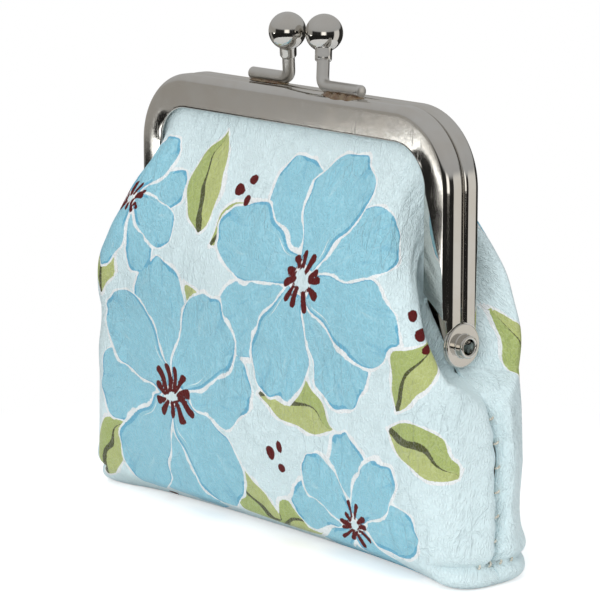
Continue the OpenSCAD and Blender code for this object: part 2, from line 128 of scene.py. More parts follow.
def addObject(name, data):
    thing = bpy.data.objects.new(name, data)
    bpy.context.scene.collection.objects.link(thing)
    return thing


weldReach = 1e-6                             # metres: points closer than this become one


def makePiece(name, patches, material, slot, outward=True, attributes=None):
    # patches are (grid of points in mm, whether its columns close); they share one mesh
    # an open sheet is given with outward off: its rows run down and its columns to the right, seen from outside
    points, faces, first = [], [], 0
    for grid, wrapCols in patches:
        rows, cols = grid.shape[:2]
        points.append(grid.reshape(-1, 3))
        faces.append(gridFaces(rows, cols, wrapCols, first))
        first += rows * cols
    mesh = bpy.data.meshes.new(name)
    faces = np.concatenate(faces) if outward else np.concatenate(faces)[:, ::-1]
    mesh.from_pydata((np.concatenate(points) * mm).tolist(), [], faces.tolist())
    for key, values in (attributes or {}).items():
        layer = mesh.attributes.new(key, "FLOAT_VECTOR", "POINT")
        layer.data.foreach_set("vector", values.reshape(-1).astype(np.float32))
    work = bmesh.new()
    work.from_mesh(mesh)
    bmesh.ops.remove_doubles(work, verts=work.verts, dist=weldReach)
    bmesh.ops.dissolve_degenerate(work, edges=work.edges, dist=weldReach)
    if outward:
        bmesh.ops.recalc_face_normals(work, faces=work.faces)
    work.to_mesh(mesh)
    work.free()
    mesh.polygons.foreach_set("use_smooth", np.ones(len(mesh.polygons), bool))
    mesh.update()
    piece = addObject(name, mesh)
    piece.data.materials.append(material)
    print("made", name, len(mesh.polygons), "faces")
    return piece


def giveWall(piece, thick):                  # a sheet's thickness, grown inward from its outer face
    wall = piece.modifiers.new("wall", "SOLIDIFY")
    wall.thickness, wall.offset = thick * mm, -1


def thicken(curve, normal, thick, lip=7):
    # closed outline of a sheet: its outer line, a round lip, its inner line, and the other lip
    inner = curve - normal * thick
    turn = np.linspace(0, math.pi, lip + 2)[1:-1]

    def roundEnd(k, sign):
        along = np.stack([normal[..., k, 1], -normal[..., k, 0]], -1)[..., None, :] * sign
        out = normal[..., k, None, :]
        middle = (curve[..., k, None, :] + inner[..., k, None, :]) / 2
        return middle + thick / 2 * (out * np.cos(turn)[:, None] + along * np.sin(turn)[:, None])
    start = roundEnd(0, -1)[..., ::-1, :]
    return np.concatenate([curve, roundEnd(-1, 1), inner[..., ::-1, :], start], axis=-2)


def capped(grid):
    # closes both ends of a sweep by shrinking an extra ring to its middle
    first = np.broadcast_to(grid[:1].mean(1, keepdims=True), grid[:1].shape)
    last = np.broadcast_to(grid[-1:].mean(1, keepdims=True), grid[-1:].shape)
    return np.concatenate([first, grid, last])


def revolve(profile, steps=72):
    # profile rows are (distance along the axis, radius); columns turn once round the axis
    turn = fullTurn(steps)
    along = np.repeat(profile[:, :1], steps, 1)
    return np.stack([along, profile[:, 1:] * np.cos(turn), profile[:, 1:] * np.sin(turn)], -1)


def halfTurn(grid, middleX=0.0):             # a copy turned half round a vertical axis
    return np.stack([2 * middleX - grid[..., 0], -grid[..., 1], grid[..., 2]], -1)


def mirrorX(grid):
    return grid[..., ::-1, :] * np.array([-1, 1, 1])


# shader helpers
class Nodes:
    # adds nodes to one tree; a socket, a number or a colour can be given for any input
    def __init__(self, tree):
        self.tree = tree

    def add(self, kind, inputs=None, **settings):
        node = self.tree.nodes.new(kind)
        for key, value in settings.items():
            setattr(node, key, value)
        for key, value in (inputs or {}).items():
            self.feed(node.inputs[key], value)
        return node

    def feed(self, socket, value):
        if isinstance(value, bpy.types.NodeSocket):
            self.tree.links.new(value, socket)
        elif isinstance(value, (tuple, list)) and len(value) == 3 and socket.type == "RGBA":
            socket.default_value = (*value, 1)
        else:
            socket.default_value = value

    def math(self, kind, a, b=0.0, c=0.0):
        return self.add("ShaderNodeMath", {0: a, 1: b, 2: c}, operation=kind).outputs[0]

    def span(self, value, low, high, toLow=0.0, toHigh=1.0):
        node = self.add("ShaderNodeMapRange", interpolation_type="SMOOTHSTEP")
        for key, item in zip((0, 1, 2, 3, 4), (value, low, high, toLow, toHigh)):
            self.feed(node.inputs[key], item)
        return node.outputs[0]

    def blendColour(self, factor, a, b):
        node = self.add("ShaderNodeMix", data_type="RGBA")
        for key, item in ((0, factor), (6, a), (7, b)):
            self.feed(node.inputs[key], item)
        return node.outputs[2]

    def noise(self, vector, scale, detail=3.0, rough=0.5):
        node = self.add("ShaderNodeTexNoise", {"Vector": vector, "Scale": scale, "Detail": detail, "Roughness": rough})
        return node.outputs[0]

    def place(self, turn=(0, 0, 0)):
        return self.stretch(self.add("ShaderNodeTexCoord").outputs["Object"], turn=turn)

    def stretch(self, source, scale=(1, 1, 1), turn=(0, 0, 0)):
        return self.add("ShaderNodeMapping", {"Vector": source, "Scale": scale, "Rotation": turn}).outputs[0]

    def bump(self, shader, strength, depth, height):     # depth is in millimetres
        node = self.add("ShaderNodeBump", {"Strength": strength, "Distance": depth * mm, "Height": height})
        self.feed(shader.inputs["Normal"], node.outputs[0])

    def group(self, tree, **inputs):
        node = self.tree.nodes.new("ShaderNodeGroup")
        node.node_tree = tree
        for key, value in inputs.items():
            self.feed(node.inputs[key], value)
        return node.outputs


def newGroup(name, inputs, outputs):
    tree = bpy.data.node_groups.new(name, "ShaderNodeTree")
    for key, kind, value in inputs:
        socket = tree.interface.new_socket(key, in_out="INPUT", socket_type=kind)
        if value is not None:
            socket.default_value = value
    for key, kind in outputs:
        tree.interface.new_socket(key, in_out="OUTPUT", socket_type=kind)
    n = Nodes(tree)
    return tree, n, n.add("NodeGroupInput").outputs, n.add("NodeGroupOutput").inputs


def newMaterial(name):
    material = bpy.data.materials.new(name)
    material.use_nodes = True
    tree = material.node_tree
    tree.nodes.clear()
    n = Nodes(tree)
    shader = n.add("ShaderNodeBsdfPrincipled")
    n.add("ShaderNodeOutputMaterial", {"Surface": shader.outputs[0]})
    return material, n, shader


floatIn, vectorIn = "NodeSocketFloat", "NodeSocketVector"


def smudgeGroup():
    # handling marks on plated metal: soft clouds and thin scratches along one direction
    tree, n, i, o = newGroup("smudges", [("Place", vectorIn, None), ("Cloud Size", floatIn, 6.0)],
                             [("Cloud", floatIn), ("Scratch", floatIn), ("Height", floatIn)])
    perMetre = n.math("DIVIDE", 1000.0, i["Cloud Size"])
    cloud = n.noise(i["Place"], perMetre, 4.0, 0.6)
    fine = n.noise(n.stretch(i["Place"], (1, 1, 0.06)), n.math("MULTIPLY", perMetre, 18.0), 2.0)
    n.feed(o["Cloud"], n.span(cloud, 0.35, 0.7))
    n.feed(o["Scratch"], n.span(fine, 0.62, 0.75))
    n.feed(o["Height"], n.math("ADD", cloud, n.math("MULTIPLY", fine, 0.03)))
    return tree


def grainGroup():
    # pebbled leather: small stretched cells with creases between them, and a few longer creases
    tree, n, i, o = newGroup("leatherGrain", [("Place", vectorIn, None), ("Cell Size", floatIn, 0.9)],
                             [("Height", floatIn), ("Crease", floatIn), ("Cloud", floatIn)])
    perMetre = n.math("DIVIDE", 1000.0, i["Cell Size"])
    wobble = n.add("ShaderNodeTexNoise", {"Vector": i["Place"], "Scale": 260.0, "Detail": 2.0}).outputs[1]
    offset = n.add("ShaderNodeVectorMath", {0: wobble, 3: 0.0016}, operation="SCALE").outputs[0]
    bent = n.add("ShaderNodeVectorMath", {0: i["Place"], 1: offset}, operation="ADD").outputs[0]
    cells = n.add("ShaderNodeTexVoronoi", {"Vector": n.stretch(bent, (1.35, 0.8, 1)), "Scale": perMetre},
                  feature="DISTANCE_TO_EDGE").outputs[0]
    long = n.add("ShaderNodeTexVoronoi", {"Vector": n.stretch(bent, (1.5, 0.6, 1), (0, 0, 0.3)),
                                          "Scale": n.math("MULTIPLY", perMetre, 0.19)},
                 feature="DISTANCE_TO_EDGE").outputs[0]
    cloud = n.noise(i["Place"], 55.0, 3.0)
    pebble = n.span(cells, 0.0, 0.28)
    strand = n.math("MULTIPLY", n.span(long, 0.05, 0.0), n.span(cloud, 0.42, 0.62))
    n.feed(o["Height"], n.math("SUBTRACT", pebble, n.math("MULTIPLY", strand, 1.1)))
    n.feed(o["Crease"], n.math("MAXIMUM", n.span(cells, 0.09, 0.0), strand))
    n.feed(o["Cloud"], cloud)
    return tree


def inkGroup():
    # coverage of a printed shape from its signed distance in millimetres, with a slightly ragged edge
    tree, n, i, o = newGroup("inkEdge", [("Distance", floatIn, 0.0), ("Grow", floatIn, 0.0), ("Ragged", floatIn, 0.5)],
                             [("Cover", floatIn)])
    edge = n.math("SUBTRACT", i["Distance"], i["Grow"])
    rough = n.math("MULTIPLY", n.math("SUBTRACT", i["Ragged"], 0.5), 0.3)
    n.feed(o["Cover"], n.span(n.math("ADD", edge, rough), 0.09, -0.09))
    return tree


smudges, leatherGrain, inkEdge = smudgeGroup(), grainGroup(), inkGroup()

nickelLook = dict(colour=(0.64, 0.628, 0.60), stain=(0.5, 0.43, 0.33), rough=0.05, roughCloud=0.035, wavy=0.02)


def nickelMaterial(name, extraRough):
    material, n, shader = newMaterial(name)
    marks = n.group(smudges, Place=n.place(), **{"Cloud Size": 9.0})
    tint = n.math("MULTIPLY", marks["Cloud"], 0.22)
    n.feed(shader.inputs["Base Color"], n.blendColour(tint, nickelLook["colour"], nickelLook["stain"]))
    shader.inputs["Metallic"].default_value = 1
    rough = n.math("MULTIPLY_ADD", marks["Cloud"], nickelLook["roughCloud"], nickelLook["rough"] + extraRough)
    n.feed(shader.inputs["Roughness"], n.math("MULTIPLY_ADD", marks["Scratch"], 0.12, rough))
    n.bump(shader, 0.5, nickelLook["wavy"], marks["Height"])
    return material


solderLook = dict(tin=(0.25, 0.19, 0.11), flux=(0.085, 0.036, 0.006), rough=0.2)


def solderMaterial():
    material, n, shader = newMaterial("solderFlux")
    marks = n.group(smudges, Place=n.place(), **{"Cloud Size": 2.2})
    n.feed(shader.inputs["Base Color"], n.blendColour(marks["Cloud"], solderLook["flux"], solderLook["tin"]))
    n.feed(shader.inputs["Metallic"], n.math("MULTIPLY", marks["Cloud"], 0.6))
    n.feed(shader.inputs["Roughness"], n.math("MULTIPLY_ADD", marks["Scratch"], 0.2, solderLook["rough"]))
    n.bump(shader, 0.6, 0.1, marks["Height"])
    shader.inputs["Coat Weight"].default_value = 1.0
    shader.inputs["Coat Roughness"].default_value = 0.06
    return material


# crease is a painted shade for the grooves between the pebbles
leatherLook = dict(base=(0.75, 0.90, 0.93), crease=(0.62, 0.81, 0.86), cloud=(0.71, 0.875, 0.91),
                   white=(0.90, 0.94, 0.95), petal=(0.31, 0.645, 0.775), petalDeep=(0.24, 0.565, 0.72),
                   petalPale=(0.47, 0.77, 0.85), rim=(0.10, 0.42, 0.63), leaf=(0.50, 0.56, 0.205),
                   leafDeep=(0.41, 0.50, 0.16), rib=(0.075, 0.085, 0.018), maroon=(0.105, 0.001, 0.001),
                   cell=0.85, rough=0.29, grain=0.145, shine=0.45, inkRough=0.4)


def leatherMaterial():
    # each printed shape is a signed distance carried by the mesh, so that its edge stays sharp
    material, n, shader = newMaterial("printedLeather")
    look = leatherLook

    def carried(name):
        source = n.add("ShaderNodeAttribute", attribute_name=name)
        parts = n.add("ShaderNodeSeparateXYZ", {0: source.outputs["Vector"]})
        return parts.outputs, source.outputs["Vector"]
    leaf, spot = carried("leaf")[0], carried("ink")[0][0]
    place = carried("flatPlace")[1]
    grain = n.group(leatherGrain, Place=place, **{"Cell Size": look["cell"]})
    ragged = n.noise(place, 1500.0, 2.0)
    broad = n.noise(place, 210.0, 2.0)
    # the creases between the pebbles are painted darker: painted shade in the grain's grooves
    skin = n.blendColour(n.math("MULTIPLY", grain["Crease"], 0.5), look["base"], look["crease"])
    skin = n.blendColour(n.math("MULTIPLY", n.span(grain["Cloud"], 0.4, 0.7), 0.6), skin, look["cloud"])

    def cover(distance, grow):
        return n.group(inkEdge, Distance=distance, Grow=grow, Ragged=ragged)["Cover"]
    gap = n.span(broad, 0.3, 0.65, 0.25, 0.95)   # white that each shape leaves round itself
    # leaves: a deeper half and a dark midrib that thins to the tip
    green = n.blendColour(n.span(leaf[2], -0.2, 0.4), look["leaf"], look["leafDeep"])
    green = n.blendColour(n.math("MULTIPLY", n.span(ragged, 0.4, 0.8), 0.35), green, look["leaf"])
    ribWidth = n.span(leaf[1], 0.95, 0.1, 0.0, 0.75)
    ribWidth = n.math("MULTIPLY", ribWidth, n.span(broad, 0.2, 0.7, 0.7, 1.2))
    rib = cover(n.math("ABSOLUTE", leaf[2]), ribWidth)
    green = n.blendColour(rib, green, look["rib"])
    colour = n.blendColour(cover(leaf[0], gap), skin, look["white"])
    colour = n.blendColour(cover(leaf[0], 0.0), colour, green)
    # petals: brush streaks along their length, a drawn rim of uneven width
    for key, layer in (("petalUnder", 0.0), ("petalOver", 7.0)):
        petal = carried(key)[0]
        fan = n.math("DIVIDE", petal[2], n.math("ADD", petal[1], 0.25))
        brushParts = {0: n.math("MULTIPLY", fan, 0.55), 1: n.math("MULTIPLY", petal[1], 1.7), 2: layer}
        brush = n.add("ShaderNodeCombineXYZ", brushParts).outputs[0]
        streak = n.noise(brush, 1.0, 3.0, 0.6)
        blue = n.blendColour(n.span(streak, 0.45, 0.3), look["petal"], look["petalDeep"])
        pale = n.math("MULTIPLY", n.span(streak, 0.56, 0.68), n.span(petal[1], 0.95, 0.35))
        blue = n.blendColour(n.math("MULTIPLY", pale, 0.6), blue, look["petalPale"])
        glint = n.math("MULTIPLY", n.span(streak, 0.665, 0.70), n.span(petal[1], 0.75, 0.3))
        blue = n.blendColour(glint, blue, look["white"])
        rimWidth = n.span(n.noise(brush, 0.6, 1.0), 0.38, 0.62, -0.1, 0.8)
        rim = n.math("SUBTRACT", 1.0, cover(petal[0], n.math("MULTIPLY", rimWidth, -1.0)))
        blue = n.blendColour(n.math("MULTIPLY", rim, 0.8), blue, look["rim"])
        colour = n.blendColour(cover(petal[0], gap), colour, look["white"])
        colour = n.blendColour(cover(petal[0], 0.0), colour, blue)
    inked = cover(spot, 0.0)
    colour = n.blendColour(inked, colour, look["maroon"])
    # the creases are painted paler, a painted highlight standing in for their shine, least of all in the stamens
    creaseHighlight = n.math("MULTIPLY", n.math("MULTIPLY", grain["Crease"], 0.10), n.math("MULTIPLY_ADD", inked, -0.9, 1.0))
    n.feed(shader.inputs["Base Color"], n.blendColour(creaseHighlight, colour, look["white"]))
    rough = n.math("MULTIPLY_ADD", grain["Cloud"], 0.10, look["rough"])
    rough = n.math("MULTIPLY_ADD", inked, look["inkRough"], rough)
    n.feed(shader.inputs["Roughness"], n.math("MULTIPLY_ADD", grain["Crease"], 0.08, rough))
    n.bump(shader, 0.9, look["grain"], grain["Height"])
    shader.inputs["Specular IOR Level"].default_value = look["shine"]
    return material


liningLook = dict(warp=(0.74, 0.70, 0.60), weft=(0.62, 0.58, 0.49), pitch=0.55)


def weaveGroup():
    # plain weave: two crossed wave bands, one over the other in turn
    tree, n, i, o = newGroup("plainWeave", [("Place", vectorIn, None), ("Pitch", floatIn, 0.5)],
                             [("Over", floatIn), ("Height", floatIn)])
    parts = n.add("ShaderNodeSeparateXYZ", {0: i["Place"]}).outputs
    pace = n.math("DIVIDE", math.pi * 1000, i["Pitch"])
    a = n.math("SINE", n.math("MULTIPLY", parts[0], pace))
    b = n.math("SINE", n.math("MULTIPLY", parts[1], pace))
    n.feed(o["Over"], n.span(n.math("MULTIPLY", a, b), -0.15, 0.15))
    n.feed(o["Height"], n.math("MAXIMUM", n.math("ABSOLUTE", a), n.math("ABSOLUTE", b)))
    return tree


plainWeave = weaveGroup()


def liningMaterial():
    material, n, shader = newMaterial("wovenLining")
    place = n.add("ShaderNodeAttribute", attribute_name="flatPlace").outputs["Vector"]
    weave = n.group(plainWeave, Place=place, Pitch=liningLook["pitch"])
    slub = n.noise(n.stretch(place, (1, 0.1, 1)), 900.0, 2.0)
    colour = n.blendColour(weave["Over"], liningLook["warp"], liningLook["weft"])
    n.feed(shader.inputs["Base Color"], n.blendColour(n.span(slub, 0.4, 0.8), colour, liningLook["weft"]))
    n.feed(shader.inputs["Roughness"], n.span(slub, 0.2, 0.9, 0.75, 0.95))
    n.bump(shader, 0.7, 0.12, weave["Height"])
    shader.inputs["Sheen Weight"].default_value = 0.25
    return material


# each holds the strand colour, a darker colour painted as shade in the low places between strands, and the twist's
# pitch
twistLook = dict(sewingThread=((0.80, 0.77, 0.68), (0.50, 0.44, 0.34), 0.35),
                 twistedPaper=((0.62, 0.50, 0.33), (0.40, 0.30, 0.18), 0.9))


def twistMaterial(name):
    # yarn or paper laid in a slanting twist
    material, n, shader = newMaterial(name)
    light, grooveShade, pitch = twistLook[name]
    place = n.place(turn=(0.6, 0.5, 0.4))
    ply = n.group(plainWeave, Place=place, Pitch=pitch)
    fuzz = n.noise(place, 2600.0, 3.0)
    strand = n.math("MULTIPLY", ply["Height"], n.span(fuzz, 0.2, 0.7, 0.6, 1.0))
    # low places between the strands are painted darker as painted shade, and the fuzz varies the tone at random
    n.feed(shader.inputs["Base Color"], n.blendColour(n.span(strand, 0.9, 0.35), light, grooveShade))
    n.feed(shader.inputs["Roughness"], n.span(fuzz, 0.2, 0.8, 0.7, 0.95))
    n.bump(shader, 0.8, 0.08, strand)
    return material


nickel, satin = nickelMaterial("polishedNickel", 0.0), nickelMaterial("satinNickel", 0.28)
solder = solderMaterial()
leather, lining = leatherMaterial(), liningMaterial()
thread, paper = twistMaterial("sewingThread"), twistMaterial("twistedPaper")
print("materials ready")

# frame halves: a folded sheet carried up one arm, round the corners, along the top and down again
# the tapers list the face's and the back plate's width at heights above the hinge axis
channel = dict(faceW=7.1, cornerR=16.0, sheet=0.6, crownR=30.0, faceFold=2.0, backFold=1.0, gap=0.15, faceLow=10.0,
               earGap=0.35, earSlack=0.1, earHole=1.95, backLow=9.0, cutTop=12.0,
               faceTaper=[(0, 0.5), (3.6, 0.6), (6.0, 2.2), (8.0, 4.4)], backTaper=[(4.4, 0.6)])
innerEarX = armX - 2 * channel["sheet"] - channel["earSlack"]


def channelLine(count=420):
    # outer line of the section as (distance in from the outer edge, depth), from the face's edge to the back plate's
    c = channel
    faceE = np.linspace(c["faceW"], c["faceFold"], count)
    turn = np.linspace(0, math.pi / 2, count)
    e = np.concatenate([faceE, c["faceFold"] * (1 - np.sin(turn)), np.zeros(count),
                        c["backFold"] * (1 - np.cos(turn)), np.linspace(c["backFold"], c["faceW"], count)])
    faceY = np.full(count, -halfD)
    foldY = -halfD + c["faceFold"] * (1 - np.cos(turn))
    webY = np.linspace(-halfD + c["faceFold"], -c["gap"] - c["backFold"], count)
    backY = -c["gap"] - c["backFold"] * (1 - np.sin(turn))
    y = np.concatenate([faceY, foldY, webY, backY, np.full(count, -c["gap"])])
    crown = c["crownR"] - np.sqrt(c["crownR"] ** 2 - (np.clip(e, 0, c["faceW"]) - c["faceW"] / 2) ** 2)
    front = y < -halfD / 2
    y = np.where(front, np.maximum(y, -halfD + crown), y)
    line = np.stack([e, y], -1)
    keep = np.insert(np.linalg.norm(np.diff(line, axis=0), axis=1) > 1e-6, 0, True)
    line = line[keep]
    return line, runLength(line[None], 1)[0]


def arcCut(y):                               # height of the concave cut round the outer ear
    r = earR + channel["earGap"]
    return np.sqrt(np.maximum(r * r - y * y, 0))


def halfSheet(cutRoundEar, across=84):
    # every row is the section trimmed to the face's and back plate's edges at that height
    c = channel
    line, s = channelLine()
    web = len(line) // 2
    normal = sideways(line, s)
    cornerH = topZ - hingeZ - c["cornerR"]
    arc = np.linspace(0, math.pi / 2, 44)[1:]
    armRows = np.concatenate([np.linspace(0, 0.36, 46), np.linspace(0.36, 1, 40)[1:]])
    h = armRows * cornerH
    faceE = np.interp(h, *zip(*c["faceTaper"], (c["faceLow"], c["faceW"])))
    backE = np.interp(h, *zip(*c["backTaper"], (c["backLow"], c["faceW"])))
    s0 = np.interp(-faceE, -line[:web, 0], s[:web])
    s1 = np.interp(backE, line[web:, 0], s[web:])
    share = np.linspace(0, 1, across)
    where = mix(s0[:, None], s1[:, None], share)

    def sample(values):
        return np.stack([np.interp(where, s, values[:, k]) for k in (0, 1)], -1)
    loop = thicken(sample(line), sample(normal), c["sheet"])
    e, y = loop[..., 0], loop[..., 1]
    # low rows follow the concave cut round the ear, or run down into the ear's own plate
    lowest = arcCut(np.minimum(y, 0)) if cutRoundEar else 0 * y
    lift = np.clip(h[:, None] / c["cutTop"], 0, 1)
    z = np.where(h[:, None] < c["cutTop"], mix(lowest, c["cutTop"], lift), h[:, None])
    sink = 0 if cutRoundEar else c["sheet"] / 2 * ease(earR, earR - 0.5, np.hypot(y, z))
    arm = np.stack([armX - e - sink, y, hingeZ + z], -1)
    topLoop = loop[-1]
    e, y = topLoop[:, 0], topLoop[:, 1]
    # the crown flattens round the corner, so that the top's face is flat
    drop = c["crownR"] - np.sqrt(c["crownR"] ** 2 - (e - c["faceW"] / 2) ** 2)
    flat = y - np.where(y < -halfD / 2, drop * ease(0.5, c["faceFold"], e), 0)
    cornerY = mix(y, flat, ease(0, 1.0, arc)[:, None])
    r = c["cornerR"] - e
    corner = np.stack([armX - c["cornerR"] + r * np.cos(arc)[:, None], cornerY,
                       hingeZ + cornerH + r * np.sin(arc)[:, None]], -1)
    right = np.concatenate([arm, corner])
    bar = np.linspace(1, -1, 26)[1:-1, None] * (armX - c["cornerR"])
    top = np.stack([bar + 0 * e, flat + 0 * bar, topZ - e + 0 * bar], -1)
    left = right[::-1] * np.array([-1, 1, 1])
    return capped(np.concatenate([right, top, left]))


def earPlate(x):
    # a round plate with a hole: rings go out over its outer face, round its rim and back over its inner face
    thick = channel["sheet"]
    lip = thick / 2
    turn = fullTurn(96)
    rim = np.linspace(0, math.pi, 9)[1:-1, None]
    face = np.linspace(0, 1, 8)[:, None]
    overFace = mix(channel["earHole"], earR - lip, face)
    radius = np.concatenate([overFace, earR - lip + lip * np.sin(rim), overFace[::-1]]) + 0 * turn
    depth = np.concatenate([0 * face, lip * (1 - np.cos(rim)), 0 * face + thick])
    ring = np.stack([x - depth + 0 * radius, radius * np.sin(turn), hingeZ + radius * np.cos(turn)], -1)
    return np.concatenate([ring, ring[:1]])


neck = dict(above=1.5, low=1.0, stepHigh=8.2, stepLow=5.6, frontInset=1.5, backInset=0.3, sink=0.95)


def neckStrip():
    # the front half's neck: a flat strip stepped inward from the web to the inner ear
    sheet = channel["sheet"]
    rise = np.linspace(channel["backLow"] + neck["above"], neck["low"], 24)[:, None]
    x = mix(armX - neck["sink"] * sheet, innerEarX + sheet, ease(neck["stepHigh"], neck["stepLow"], rise))
    front, back = -halfD + neck["frontInset"], -channel["gap"] - neck["backInset"]
    inward, along = np.array([0, 0, -1, -1]), np.array([0, 1, 1, 0])
    return capped(np.stack([x + inward * sheet, mix(front, back, along) + 0 * x, hingeZ + rise + 0 * along], -1))


def frameHalves():
    innerEar, outerEar, strip = earPlate(innerEarX + channel["sheet"]), earPlate(armX), neckStrip()
    front = [halfSheet(True), innerEar, mirrorX(innerEar), strip, mirrorX(strip)]
    rear = [halfTurn(halfSheet(False)), outerEar, mirrorX(outerEar)]
    for name, grids, body in (("front_frame", front, "front_half"), ("rear_frame", rear, "rear_half")):
        piece = makePiece(name + "_sheet", [(grid, True) for grid in grids], nickel, "nickel")
        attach(piece, body)
        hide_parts(name)


# rivets: a clinched flange inside, a tube through both ears, a rounded lip outside
rivet = dict(clinchR=2.8, clinchT=0.45, clinchInset=0.5, shankR=1.9, tubeR=2.35, boreR=1.55, stand=1.9, rootR=0.25)


def rivets():
    r = rivet
    inside, outside = innerEarX - r["clinchInset"], armX + r["stand"]
    lipR = (r["tubeR"] - r["boreR"]) / 2
    turn = np.linspace(0, math.pi, 13)
    lip = np.stack([outside - lipR + lipR * np.sin(turn), r["tubeR"] - lipR + lipR * np.cos(turn)], -1)
    foot = np.linspace(math.pi / 2, 0, 6)
    root = np.stack([armX + r["rootR"] * (1 - np.sin(foot)), r["tubeR"] + r["rootR"] * (1 - np.cos(foot))], -1)
    flange = np.array([[inside, r["boreR"]], [inside - 0.02, r["clinchR"] - 0.15], [inside + 0.1, r["clinchR"]],
                       [inside + r["clinchT"], r["clinchR"]], [inside + r["clinchT"], r["shankR"]],
                       [armX + 0.02, r["shankR"]]])
    profile = np.concatenate([flange, root, lip, [[inside, r["boreR"]]]])
    grid = revolve(profile) + np.array([0, 0, hingeZ])
    for name, shape in (("right_rivet", grid), ("left_rivet", mirrorX(grid))):
        piece = makePiece(name + "_tube", [(shape, True)], nickel, "nickel")
        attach(piece, "rear_half")
        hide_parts(name)


# clasp: bent wire posts soldered along the top, each with a collared ball
clasp = dict(ballD=8.0, ballPass=0.2, ballCross=1.55, ballRise=10.6, postRun=3.3, wireD=2.7, elbowR=2.6, barReach=19.4,
             barY=1.75, middleX=1.2, collarD=3.6, collarLen=2.6, fillet=0.18, chamfer=0.25)


def claspFrame():
    # the post's own frame: x along the bar, z up the post, leaned over the parting plane
    c = clasp
    elbowX = (c["ballD"] + c["ballPass"]) / 2 + c["postRun"]
    length = math.sqrt(c["postRun"] ** 2 + (c["ballCross"] + c["barY"]) ** 2 + c["ballRise"] ** 2)
    tilt = math.asin(c["postRun"] / length)
    lean = math.atan2(c["ballCross"] + c["barY"], c["ballRise"])
    origin = np.array([c["middleX"] + elbowX, -c["barY"], topZ + c["wireD"] / 2])

    def place(x, y, z):
        leanY, leanZ = y * math.cos(lean) + z * math.sin(lean), -y * math.sin(lean) + z * math.cos(lean)
        return np.stack([x, leanY, leanZ], -1) + origin
    return place, elbowX, length, tilt


def postGrid():
    # a round wire carried along the bar, the elbow's arc and the tilted post
    c = clasp
    place, elbowX, length, tilt = claspFrame()
    run = c["elbowR"] * math.tan((math.pi / 2 - tilt) / 2)
    barEnd = c["barReach"] - elbowX
    bar = np.linspace(barEnd, run, 16)
    turn = np.linspace(0, math.pi / 2 - tilt, 22)[1:]
    bend = np.stack([run - c["elbowR"] * np.sin(turn), c["elbowR"] * (1 - np.cos(turn))], -1)
    up = np.array([-math.sin(tilt), math.cos(tilt)])
    rise = bend[-1] + np.linspace(0.08, 1, 14)[:, None] * (up * (length - 1.5) - bend[-1])
    path = np.concatenate([np.stack([bar, 0 * bar], -1), bend, rise])
    side = sideways(path)
    radius = np.full(len(path), c["wireD"] / 2)
    # the bar's end is chamfered and slightly dished
    k = c["chamfer"]
    ends = np.array([[barEnd + k, 0], [barEnd + k, 0], [barEnd + 0.6 * k, 0]])
    path = np.concatenate([ends, path])
    side = np.concatenate([side[:1]] * 3 + [side])
    radius = np.concatenate([[0.0, c["wireD"] / 2 - k, c["wireD"] / 2 - 0.3 * k], radius])
    angle = fullTurn(48)
    x = path[:, :1] + radius[:, None] * side[:, :1] * np.cos(angle)
    z = path[:, 1:] + radius[:, None] * side[:, 1:] * np.cos(angle)
    return place(x, radius[:, None] * np.sin(angle), z)


def ballGrid():
    # profile down the ball from its pole, through a small fillet, down the collar and in to the wire
    c = clasp
    place, _, length, tilt = claspFrame()
    ballR, collarR = c["ballD"] / 2, c["collarD"] / 2
    stop = math.pi - math.asin((collarR + c["fillet"]) / ballR)
    turn = np.linspace(0, stop, 60)
    ball = np.stack([ballR * np.cos(turn), ballR * np.sin(turn)], -1)
    top = ball[-1, 0]
    low = top - c["collarLen"]
    collar = np.array([[top - 0.12, collarR + 0.05], [top - 0.35, collarR], [low + 0.9, collarR],
                       [low + 0.25, collarR * 0.985], [low + 0.05, collarR * 0.93], [low, collarR * 0.85],
                       [low, c["wireD"] / 2 - 0.1]])
    along, side, depth = np.moveaxis(revolve(np.concatenate([ball, collar])), -1, 0)
    # the axis of the profile becomes the post's own direction
    along = along + length
    ux, uz = -math.sin(tilt), math.cos(tilt)
    return place(along * ux + side * uz, depth, along * uz - side * ux)


bead = dict(start=8.2, past=0.9, front=2.3, back=1.3, ragged=0.15, height=0.75, lumps=0.2, sink=0.1, wall=0.1)


def solderGrid():
    # a lumpy bead from behind the bar to over the fold in front of it: thick against the bar, thin at its ragged edges
    c, fold = clasp, channel["faceFold"]
    along = np.linspace(0, 1, 72)[:, None]
    across = np.linspace(-1, 1, 33)[None, :]
    x = c["middleX"] + mix(bead["start"], c["barReach"] + bead["past"], along) + 0 * across
    ends = (1 - (2 * along - 1) ** 6) ** 0.5
    front = bead["front"] + bead["ragged"] * waves(x, 0 * x, 4.5, 12)
    y = -c["barY"] + across * np.where(across < 0, front, bead["back"]) * ends
    over = np.clip(-y - halfD + fold, 0, fold)
    ground = topZ - fold + np.sqrt(fold ** 2 - over ** 2)
    height = bead["height"] + bead["lumps"] * waves(x * 2, y * 2, 5.0, 11)
    height = height * np.clip(1 - across ** 2, 0, 1) ** 0.7 * ends
    return np.stack([x, y, ground - bead["sink"] + height], -1)


def claspPieces():
    shapes = (("post", postGrid(), satin, "nickel", "_wire"), ("ball", ballGrid(), nickel, "nickel", "_knob"),
              ("solder", solderGrid(), solder, "solder", "_bead"))
    for kind, grid, material, slot, ending in shapes:
        for half, shape in (("front", grid), ("rear", halfTurn(grid, clasp["middleX"]))):
            name = half + "_" + kind
            piece = makePiece(name + ending, [(shape, kind != "solder")], material, slot)
            if kind == "solder":
                giveWall(piece, bead["wall"])
            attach(piece, half + "_half")
            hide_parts(name)


